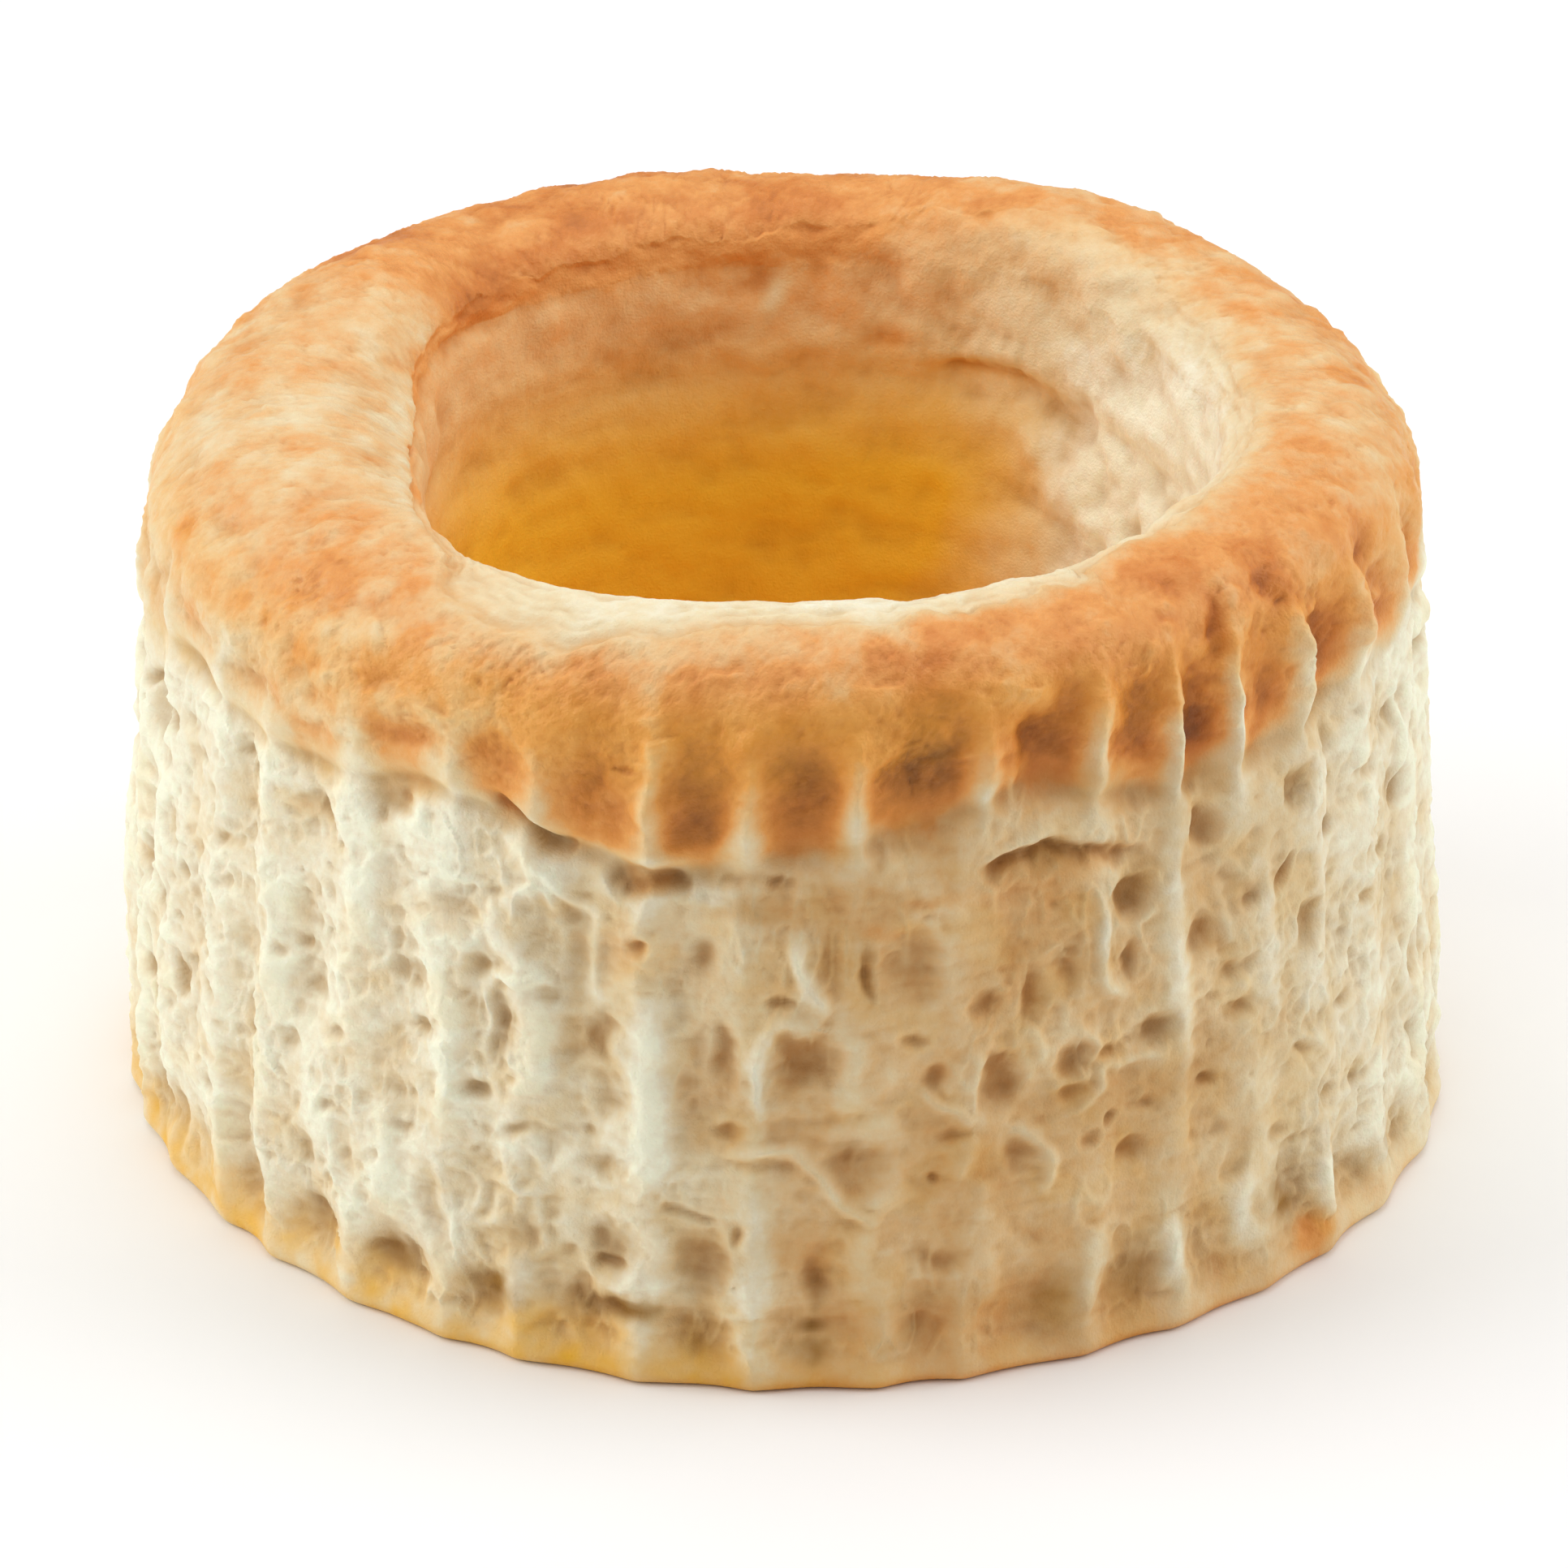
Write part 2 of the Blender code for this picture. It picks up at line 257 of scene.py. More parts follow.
@dataclass(frozen=True)
class Flutes:
    """The cutter's flutes: sharp ridges with round valleys between them."""

    count: int = 38
    start: float = -0.25  # where the first ridge stands, in flutes from the front
    unevenness: float = 0.14
    base_shares: Span = (0.65, 1.15)
    crust_shares: Span = (0.6, 1.2)
    seed: int = 5
    depth_base: float = 1.3
    base_reach: float = 9.5
    crust_reach: float = 4.5
    roundness: float = 0.16
    # How wide the valleys' floors are, with a lower power for a wider floor
    wall_power: float = 1.5
    base_power: float = 1.1
    crust_power: float = 0.85
    # (degrees, depth) on the wall and on the crust, and (degrees, how far the folds run up the crust)
    wall_depths: Table = (
        (-80, 0.7), (-45, 0.85), (-8, 0.75), (2, 0.3), (28, 0.25), (40, 0.6), (70, 0.6),
    )
    fold_depths: Table = (
        (-80, 0.8), (-40, 0.65), (-26, 0.8), (-14, 1.7), (-5, 1.5), (6, 1.2), (15, 1.2), (27, 1.8),
        (40, 2), (55, 1.7), (75, 1), (120, 1.3), (180, 1.5), (240, 1),
    )
    fold_reaches: Table = (
        (-80, 6), (-45, 5), (-25, 6), (-14, 9), (0, 8), (15, 8), (30, 9.5), (48, 13), (62, 10), (80, 7),
        (110, 6.5), (150, 9), (200, 6.5), (240, 8),
    )
    # (degrees, how many degrees the ridges lean to the right at the crust)
    leans: Table = (
        (-40, 0), (-11.9, 0.9), (-2, -0.5), (8.3, -2), (15.3, 2), (26.4, 2.4), (35.4, 2), (45.2, -1),
        (53.9, -0.8), (66, 0), (100, 1), (140, -1), (190, 1.2), (250, -0.8),
    )

    def table(self) -> Array:
        """Draws each flute's own values.

        Returns:
            For each flute its offset and its shares of the depth at the base and at the crust.
        """
        draw = random.Random(self.seed)
        spans = ((-self.unevenness, self.unevenness), self.base_shares, self.crust_shares)
        return np.array([[draw.uniform(*span) for span in spans] for _ in range(self.count)])

    def angles(self, turns: Array) -> Array:
        """Turns places given in flutes into angles.

        Args:
            turns: The places, which may lie between two ridges.

        Returns:
            Their angles in radians.
        """
        table = self.table()[:, 0]
        first = np.floor(turns).astype(int)
        offset = mix(table[first % self.count], table[(first + 1) % self.count], turns - first)
        return 2.0 * math.pi * (turns + self.start + offset) / self.count

    def valley(self, turns: Array, column: int, power: float) -> Array:
        """How far down into a valley each place lies.

        Args:
            turns: The places, in flutes.
            column: The table's column with each flute's share of the depth.
            power: How steep the valleys' sides are: a lower power gives a wider floor.

        Returns:
            0 on a rounded ridge and up to about 1 in a valley.
        """
        own = self.table()[:, column][np.floor(turns).astype(int) % self.count]
        low, high = self.roundness ** power, (1.0 + self.roundness ** 2) ** (power / 2.0)
        curve = (np.sin(math.pi * turns) ** 2 + self.roundness ** 2) ** (power / 2.0)
        return own * (curve - low) / (high - low)


@dataclass(frozen=True)
class Pit:
    """A burst bubble."""

    angle: float  # degrees
    height: float
    half_width: float
    half_height: float
    depth: float
    lean: float = 0.0  # degrees that its top leans to the right
    corners: float = 2.0  # 2 is an ellipse, and more is squarer


@dataclass(frozen=True)
class Seam:
    """A raised ridge of dough, or with a negative rise a crack."""

    rise: float
    half_width: float
    way: Table  # (degrees, height)
    steps: int = 6

    def curve(self) -> Array:
        """Rounds the way off.

        Returns:
            The smooth way through its points, as (length round the wall, height).
        """
        points = [np.array((math.radians(a) * MEAN_RADIUS, z)) for a, z in self.way]
        points = [2 * points[0] - points[1], *points, 2 * points[-1] - points[-2]]
        made = []
        for a, b, c, d in zip(points, points[1:], points[2:], points[3:]):
            for step in range(self.steps):
                t = step / self.steps
                made.append(0.5 * (2 * b + (c - a) * t + (2 * a - 5 * b + 4 * c - d) * t * t
                                   + (3 * b - a - 3 * c + d) * t ** 3))
        return np.array([*made, points[-2]])


@dataclass(frozen=True)
class Patch:
    """A soft-edged place that is browner or paler, or darker with spots or painted shade, and may stand out
    or lie back.
    """

    angle: float  # degrees
    height: float
    half_width: float
    half_height: float
    strength: float  # how much browner, or for dark spots how much darker, it is
    rise: float = 0.0


# As (degrees, height, half width, half height, depth, lean in degrees, corners)
FRONT_PITS = tuple(Pit(*row) for row in (
    (-36, 34, 1.9, 1.8, 1), (-44.5, 31.6, 1.8, 0.9, 0.7, 40), (-59.5, 9.3, 1.2, 0.7, 0.7),
    (-60, 15.6, 1.2, 0.7, 0.5), (-57.5, 26.2, 0.9, 0.7, 0.5), (-66, 21.5, 0.8, 0.7, 0.5),
    (-29.2, 28.3, 1.8, 2, 0.7, 12), (-21.6, 28.1, 1.6, 2.4, 0.7, -8), (-27, 25, 1, 0.9, 0.7),
    (-33.3, 23.2, 1.7, 0.9, 0.6), (-32.2, 19.9, 1.2, 1, 0.6), (-24.4, 21.5, 1, 2.4, 1),
    (-26.9, 17.2, 1.2, 0.9, 1, 0, 2.6), (-22.4, 15.2, 0.75, 1.9, 0.9, 62), (-41.4, 18.1, 1.1, 1, 0.6),
    (-49.5, 21.2, 0.9, 0.9, 0.7), (-47.5, 22.2, 0.6, 0.8, 0.5), (-42.6, 12.7, 1.1, 0.6, 0.6),
    (-34.5, 13.5, 1.2, 0.6, 0.4), (-15, 21.7, 1.2, 1.9, 0.8), (-14.3, 18.5, 1.3, 1.7, 0.7),
    (-14.9, 14.1, 1.2, 1.3, 0.5), (-11.9, 28, 1, 1, 0.9), (-6.1, 27.7, 1.1, 1.5, 0.7),
    (-4.4, 21.9, 0.8, 3.2, 0.7), (-3.8, 17, 1.2, 0.7, 0.5), (-30.7, 8.9, 1.2, 3.4, 0.7, -8),
    (-40.2, 10.2, 0.9, 3, 0.5), (-45.7, 9.1, 1.3, 1.7, 0.4), (-22.6, 8.7, 1.4, 2.3, 0.6),
    (-14.2, 8.6, 1.6, 2.1, 0.8, 0, 2.6), (-6.2, 8.2, 1.6, 2.6, 0.6), (-3.3, 10.3, 0.5, 0.8, 0.5),
    (2.3, 21.3, 2.3, 2.4, 1.1, -20, 2.4), (4.5, 19.9, 0.6, 0.7, 0.5), (0.4, 25, 1.3, 0.6, 0.6),
    (7.4, 26.7, 0.6, 2.4, 0.8), (10.8, 26.9, 2.2, 2.4, 0.5), (4.6, 27.5, 0.9, 2.6, 0.5),
    (17.7, 23.8, 0.9, 0.8, 0.5), (11.4, 22.5, 1, 0.7, 0.5), (13.2, 19.8, 0.9, 0.9, 0.6),
    (6.7, 14.8, 2.2, 1.9, 0.8, 0, 2.4), (19, 18.7, 1.6, 2.1, 1.2, 0, 3), (20.8, 14.2, 1.1, 1.5, 0.6),
    (14.7, 16.1, 0.8, 0.6, 0.4), (12.8, 13.5, 0.5, 0.5, 0.5), (3.3, 7.8, 1.1, 2.4, 0.7),
    (13, 8.4, 2.3, 1.2, 0.6), (22.1, 24.2, 0.8, 2.2, 0.8), (25.2, 25.4, 1, 2, 0.5),
    (26.3, 19.3, 1.5, 1.3, 0.9, 0, 2.8), (34.3, 19.8, 1.8, 1.4, 1), (30.3, 19.4, 1.6, 0.7, 0.5),
    (25.6, 17.3, 1.6, 0.6, 0.5), (32, 28.7, 1.6, 1.8, 1.2), (31.7, 24.7, 0.7, 1.4, 0.8),
    (40.4, 31.2, 1.4, 1.5, 1), (39.2, 24.5, 1.2, 1.6, 0.9), (43.5, 21.4, 1.7, 1, 0.8),
    (43.4, 19, 1.8, 0.9, 0.9, 0, 2.8), (45.3, 25.7, 1.1, 0.8, 0.9), (49.7, 26.3, 0.5, 1.3, 0.8, 40),
    (53, 21.8, 1.4, 1.7, 0.8), (57.1, 27.2, 0.9, 0.8, 1.1), (62.3, 20.8, 0.9, 0.7, 0.7),
    (52.1, 31.2, 1.7, 1.6, 0.9), (29.5, 15, 0.5, 0.5, 0.6), (40.3, 15.1, 0.9, 0.7, 0.6),
    (27.3, 14.2, 1, 0.6, 0.5), (31.4, 12.4, 0.8, 0.9, 0.5), (48.1, 9.4, 1.3, 1, 0.5),
    (33, 15.3, 1.3, 0.7, 0.4), (51.6, 14.1, 1.2, 0.7, 0.5), (58.3, 15.5, 1.1, 0.7, 0.5),
    (60.6, 9.9, 1.2, 0.7, 0.5), (55.1, 10.5, 1, 0.8, 0.4), (55.5, 36.4, 1.3, 0.8, 0.8),
    (38.6, 34.2, 1.2, 1.3, 0.7, 20), (63.8, 28.8, 1.7, 0.8, 0.7), (66.8, 23, 1.2, 0.7, 0.6),
))

# As (rise, half width, way)
FRONT_SEAMS = tuple(Seam(*row) for row in (
    (0.4, 1.1, ((-38.2, 33), (-38.6, 28), (-38.3, 23.5))),
    (0.3, 0.5, ((56.5, 34), (57, 30), (55.6, 27))),
    (-0.4, 0.4, ((-5, 32.6), (-2, 32.5), (1.5, 32.4))),
    (-0.7, 0.45, ((-48.6, 35.6), (-44.6, 36.2), (-41, 36.8))),
    (0.6, 0.6, ((-23.6, 33), (-20.8, 31.9), (-17.8, 30.5), (-16.3, 29), (-16, 25.8), (-16.5, 22.4))),
    (0.45, 0.7, ((-25.5, 30), (-25.3, 27.9), (-25, 26))),
    (0.5, 0.4, ((-25.8, 24.7), (-22.8, 24.7), (-19.4, 25.1))),
    (0.45, 1, ((-20.8, 23.7), (-20.7, 21), (-21.2, 17.6))),
    (0.6, 1.1, ((-10.6, 25.2), (-10.8, 21), (-10.5, 17.1), (-10.7, 11.8))),
    (0.4, 0.9, ((-29.1, 23.4), (-29.2, 20), (-29.1, 14.2))),
    (0.5, 1.1, ((-36, 15.1), (-35.9, 10.7), (-35.7, 6.3))),
    (0.5, 0.9, ((-18.3, 15.6), (-18, 12.3), (-18, 8))),
    (0.5, 0.8, ((-10.1, 10.7), (-10, 7.8), (-9.6, 5.6))),
    (0.5, 1, ((-1.9, 13.4), (-1.7, 9.8), (-1.7, 4.9))),
    (0.4, 0.7, ((6.5, 10.5), (6.7, 8.4), (6.9, 6))),
    (0.35, 0.9, ((17.6, 10.3), (17.5, 7.4), (17.5, 4.4))),
    (0.65, 0.55, ((1.3, 29.7), (1.7, 27.8), (2.5, 26.3), (3, 25.2), (4, 24.2))),
    (0.6, 0.55, ((3.8, 24.1), (1.5, 23.7), (-0.4, 23.3), (-1.7, 22.1), (-2.1, 20.4), (-1.8, 18.9),
                 (-1.1, 17.9))),
    (0.4, 0.7, ((5.5, 23.5), (6.6, 21.7), (6.4, 19.6), (4.8, 18.3))),
    (0.6, 0.5, ((-4.4, 15.5), (-1.9, 15.7), (1, 15.6), (3.1, 14.5), (4.8, 12.8), (6.3, 11.5), (8, 10.7))),
    (0.5, 0.45, ((11.8, 19.3), (13.7, 18.2), (15.6, 17.4), (16.2, 16.3))),
    (0.45, 0.75, ((15.5, 15.8), (15.5, 14.4), (15.1, 13.1))),
    (0.5, 0.42, ((19.5, 16.2), (21.8, 15.7), (23.1, 14.2), (23.3, 12.4), (22.2, 11.2))),
    (0.4, 0.32, ((16.7, 21.3), (16.7, 19), (16.8, 16.9))),
    (0.45, 0.4, ((21.9, 22.3), (22.5, 20.8), (22.7, 19.2))),
    (0.65, 0.5, ((28.6, 30.2), (28.7, 27.3), (29, 24.8), (29.8, 23.4), (32, 22.3))),
    (0.5, 0.9, ((35.9, 32.1), (35.9, 27.8), (36.5, 22.9), (37.1, 19), (37.2, 14.1))),
    (0.5, 0.42, ((23.5, 15.9), (26.4, 16.3), (28.3, 17), (29.2, 18.3), (31.5, 18.1), (35.2, 17.8))),
    (0.4, 0.5, ((41.8, 27.8), (42, 25.4), (42.7, 23.3))),
    (0.4, 0.8, ((46.8, 30.8), (47.2, 25.9), (47.6, 21), (47.6, 16.1))),
    (0.4, 0.6, ((17.2, 13), (17.2, 11.5), (17.6, 10.1))),
    (0.5, 0.8, ((27.7, 8.7), (27.5, 5.8), (27.2, 2.8))),
    (0.5, 0.9, ((35, 8), (34.9, 5.3), (34.8, 2.7))),
    (0.55, 1.1, ((43, 8.8), (43.1, 5.8), (43.4, 3.2))),
    (0.5, 0.9, ((53.5, 6.4), (53.7, 4.4), (53.9, 2.8))),
    (0.3, 0.4, ((17.5, 32.6), (18.9, 33.4), (21.3, 33.8), (24.5, 33.6))),
    (0.3, 0.5, ((8.5, 29.2), (11, 30.1), (13.2, 30.5), (16.1, 30.3))),
    (-0.8, 0.6, ((18.3, 31.5), (19.2, 32.4), (21.1, 32.7), (24.5, 32.7), (28.3, 32), (31.8, 31.1),
                 (34.3, 30.1))),
    (-1.1, 0.5, ((-26.9, 36.7), (-24.9, 35.7), (-22.6, 34.8), (-20.4, 33.6), (-17.9, 33))),
    (-0.9, 0.7, ((-14.9, 31.5), (-12.5, 32), (-9.8, 32.2), (-7.4, 31.9))),
    (-0.5, 0.32, ((-16.3, 7.5), (-14.6, 7.5), (-12.5, 7.4))),
    (-0.35, 0.4, ((-9.8, 11.5), (-7.7, 11.5), (-5.2, 11.3))),
    (-0.3, 0.35, ((-4.6, 14.7), (-1.9, 14.8), (1, 14.7))),
    (-0.35, 0.5, ((-16.7, 4.7), (-13.5, 4.7), (-10, 4.8))),
))

# As (degrees, height, half width, half height, browning, rise)
CRUST_PATCHES = tuple(Patch(*row) for row in (
    (-48, 40.5, 1.8, 1, 0.1, -0.3), (-61, 38.2, 1.8, 0.9, 0.08, -0.2),
    (-72, 41.5, 2.2, 1.1, 0.12, -0.1), (-55, 43.2, 4, 1.4, 0.05), (-38, 41.4, 1.6, 0.9, 0.07, -0.1),
    (-34, 37.4, 3, 0.9, -0.12), (-45, 37.6, 2.6, 0.8, -0.1, 0.2), (-58, 39, 3.2, 1.2, -0.09),
    (-19, 41.6, 4, 1.8, 0.1), (-1, 41, 3, 1.6, 0.05), (17, 40.6, 3.4, 1.6, 0.05),
    (44, 43, 1, 1.4, 0.14, -0.7), (52, 43.6, 1.4, 1.6, 0.1, -0.6), (66, 42.2, 1.4, 1.1, 0.12, -0.5),
    (60, 44.2, 1.8, 0.8, 0.08, 0.4), (-11, 37.5, 0.7, 3.2, -0.13, 0.4), (-11, 33.8, 2, 0.5, -0.1, 0.3),
    (-2.6, 35.4, 0.8, 1.6, -0.1, 0.1), (6.2, 36.4, 0.7, 1.8, -0.1, 0.1),
    (17.6, 36.6, 0.6, 1.8, -0.1, 0.1), (20.9, 38, 0.5, 2.8, -0.08, 0.3),
    (29, 38.6, 0.6, 2.8, -0.12, 0.3), (37.4, 38.3, 0.6, 3, -0.16, 0.4),
    (44.4, 37.8, 0.6, 2.8, -0.16, 0.3), (53, 39.6, 0.7, 2, -0.1, 0.3), (62, 36, 2, 1.2, -0.07),
    (226, 43.6, 5, 1.6, 0.22, -0.1), (209, 45.2, 3, 0.8, 0.12), (-100, 44.6, 4, 0.9, 0.05),
    (-78, 45, 3.4, 0.9, 0.04),
))

# Browning patches on the wall; those near 32 mm at about -11 degrees and from 21 to 29 degrees are painted
# shadow under the crust's edge and the arc
WALL_PATCHES = tuple(Patch(*row) for row in (
    (-36, 34.3, 1.8, 1.4, 0.14), (-47.3, 31, 2.2, 0.8, 0.12), (-10.6, 18, 1.3, 5, -0.1),
    (-20.8, 20.6, 1.3, 3, -0.06), (-30, 33.2, 1.6, 1.2, -0.05), (47.2, 22, 1.1, 5, -0.06),
    (28.8, 27, 0.8, 3, -0.08), (-11.1, 32.1, 1.6, 0.7, 0.18), (-12.1, 28, 2.4, 2.6, 0.14),
    (-1.9, 30.9, 2.2, 0.9, 0.14), (-5.6, 31.6, 1.1, 0.7, -0.2), (-6.1, 24.3, 1, 4, 0.06),
    (9.1, 29.4, 1.3, 0.6, 0.12), (13.2, 31, 1.6, 0.5, 0.12), (24.1, 31.7, 4.6, 1.1, 0.08),
    (21.3, 30, 3.4, 1.6, 0.07), (28.8, 31.6, 2.4, 0.8, 0.05), (2.3, 27.1, 0.8, 2.8, -0.12),
    (-1.8, 20.4, 0.8, 2.6, -0.06), (-1.7, 9.4, 1.2, 4, -0.06), (27.3, 5.8, 0.9, 3.4, -0.04),
    (34.9, 5.3, 1, 3.4, -0.1), (42.9, 6, 1.3, 3.2, -0.1), (53.6, 4.6, 1.2, 1.8, -0.06),
    (52, 2.2, 1.7, 1.3, 0.34), (61.6, 1.8, 1.6, 1.1, 0.12), (36.1, 25.8, 1, 7, -0.06),
    (3.6, 9.2, 1.2, 1.2, 0.06),
))

# Olive brown darkening, with its strength in place of the browning
# Spots in the flute valleys at the foot, partly browning and partly painted shade; painted shade in the
# pits; painted shadow under the crust's margin at about -9 and 24 degrees
DARK_SPOTS_AND_SHADE = tuple(Patch(*row) for row in (
    (-52.9, 5.4, 1.3, 1.2, 0.5), (-44.9, 4.6, 1.5, 1.5, 0.4), (-35.1, 4.3, 1.6, 1.2, 1),
    (-31.3, 6.9, 1.2, 2.6, 0.22), (-25.4, 4.3, 1.7, 1.4, 1), (-22.5, 8.1, 1.3, 2, 0.2),
    (-15.2, 4.5, 2.2, 0.8, 0.85), (-11.9, 4.7, 1.6, 0.4, 0.5), (-14.3, 8.4, 1.4, 1.8, 0.3),
    (-6.7, 3.1, 1.1, 1.3, 0.5), (-6.1, 7.8, 1.5, 2.2, 0.24), (2.5, 4, 1, 0.5, 0.75),
    (2.5, 2.5, 1.3, 0.6, 0.6), (3.2, 6.6, 0.5, 1.8, 0.35), (10.6, 2.9, 1.4, 1, 0.26),
    (12.1, 5.4, 1.6, 0.9, 0.24), (23.7, 4, 1.8, 2.2, 0.44), (24.1, 32.2, 4.4, 0.8, 0.34),
    (-9, 32, 3.2, 0.6, 0.3), (49.6, 5.6, 1.4, 2.2, 0.4), (61, 3.4, 1.4, 1.2, 0.34),
    (31.2, 4.3, 1.7, 2.8, 0.48), (38.6, 4.4, 1.1, 2.6, 0.26), (48, 5.3, 1.5, 2, 0.46),
    (65.1, 3.9, 1, 1, 0.4), (31.8, 28.7, 1.4, 1.5, 0.34), (34.3, 19.9, 1.5, 1.1, 0.26),
    (53, 21.8, 1.2, 1.5, 0.2), (57.1, 27.2, 0.8, 0.7, 0.24), (-24.4, 21.5, 0.9, 2.2, 0.22),
    (-15, 21.4, 1, 1.6, 0.2), (-2.1, 30.9, 2, 0.8, 0.3), (7.4, 27.1, 0.5, 1.8, 0.2),
    (51.9, 31.2, 1.4, 1.4, 0.24),
))

# Around the mouth and in the hollow, as (degrees, height, half width, half height, browning, rise); the
# browner band at 153 degrees is painted shadow under the ledge
HOLLOW_PATCHES = tuple(Patch(*row) for row in (
    (182.5, 40.4, 0.7, 1.3, -0.2, 0.35), (167, 37.8, 1.6, 0.8, 0.16, -0.4),
    (172.5, 39.4, 1.8, 1, 0.08, 0.4), (153, 36.5, 4.4, 0.5, 0.14, -0.4), (136, 31, 3, 2, -0.04, 0.4),
    (128, 34, 2.2, 1.2, -0.04, 0.3), (143, 33, 1.8, 1.2, -0.08, 0.4), (-96, 40, 0.8, 3, -0.03, 0.2),
    (-104, 39, 0.8, 3, -0.03, 0.2), (-112, 39.5, 0.7, 2.4, -0.03, 0.2),
))


@dataclass(frozen=True)
class Baking:
    """How brown the case baked, from 0 for pale dough to 1 for dark crust, as (degrees, browning), with
    painted light and shade in some tables as noted.
    """

    # The browner front, round 0 to 40 degrees, is partly browning and partly painted shade where the lamps
    # light least
    wall: Table = (
        (-75, 0.06), (-50, 0.07), (-35, 0.08), (-20, 0.12), (-8, 0.20), (0, 0.29), (15, 0.34),
        (30, 0.31), (40, 0.25), (50, 0.18), (60, 0.10), (75, 0.06), (105, 0.10), (150, 0.14),
        (190, 0.12), (240, 0.08),
    )
    foot: Table = (
        (-75, 0.09), (-45, 0.12), (-20, 0.13), (0, 0.06), (25, 0.08), (50, 0.12), (75, 0.11),
        (180, 0.16),
    )
    band: Table = (
        (-75, 0.41), (-50, 0.48), (-30, 0.56), (-20, 0.66), (-5, 0.71), (10, 0.73), (25, 0.73),
        (40, 0.68), (55, 0.64), (75, 0.53), (110, 0.50), (180, 0.60), (250, 0.48),
    )
    top: Table = (
        (-90, 0.31), (-60, 0.39), (-40, 0.46), (-25, 0.50), (0, 0.59), (30, 0.62), (45, 0.62),
        (70, 0.48), (90, 0.40), (115, 0.45), (140, 0.49), (180, 0.63), (220, 0.57), (250, 0.40),
    )
    lip: Table = (
        (-90, 0.38), (-60, 0.32), (-38, 0.19), (-25, 0.13), (0, 0.11), (20, 0.12), (40, 0.14),
        (60, 0.14), (80, 0.10), (100, 0.06), (125, 0.14), (145, 0.28), (160, 0.40), (180, 0.50),
        (220, 0.46), (250, 0.42),
    )
    # Painted shade: how far the wall's colour is drawn to the dark olive brown, most on the front, which the
    # lamps light least
    painted_wall_shade: Table = (
        (-75, 0.02), (-30, 0.03), (-12, 0.12), (0, 0.26), (15, 0.32), (35, 0.35), (48, 0.28),
        (62, 0.09), (80, 0.03), (150, 0.08), (240, 0.03),
    )
    # How much darker the valleys between the flutes are, low on the crust
    darkening: Table = (
        (-75, 0.03), (-45, 0.07), (-30, 0.08), (-22, 0.14), (-14, 0.24), (-6.5, 0.21), (2.5, 0.18),
        (13, 0.14), (22, 0.16), (33, 0.30), (41, 0.31), (49, 0.27), (58, 0.21), (72, 0.12), (120, 0.10),
        (180, 0.14), (240, 0.06),
    )
    # The paleness round 80 to 125 degrees is partly the pale layers and partly painted light where the left
    # lamp falls on the inner wall
    inside: Table = (
        (-90, 0.36), (-60, 0.30), (0, 0.20), (60, 0.04), (80, -0.11), (105, -0.12), (125, -0.05),
        (142, 0.14), (158, 0.28), (180, 0.38), (220, 0.37), (250, 0.37),
    )
    # How much browner the very edge of the base is
    hem: Table = (
        (-60, 0.04), (-15, 0.16), (60, 0.16), (130, 0.10), (240, 0.05),
    )
    valley_darkening: float = 0.75
    rib_lightening: Span = (0.20, 0.30)  # of the crust's ridges, elsewhere and at the right
    floor: float = 0.36
    # The hollow's wall turns golden from this height down over this run, and more at its back right: partly
    # its baked colour and partly a painted glow of light shining through the pastry
    golden_top: float = 40.5
    golden_run: float = 13.0
    glow: float = 0.17
    # How far the colour is drawn to golden: at the foot, below the crust's left margin and on its shoulder
    straw: float = 0.66
    fringe_gold: float = 0.22
    shoulder_gold: Span = (0.14, 0.27)  # elsewhere and at the front


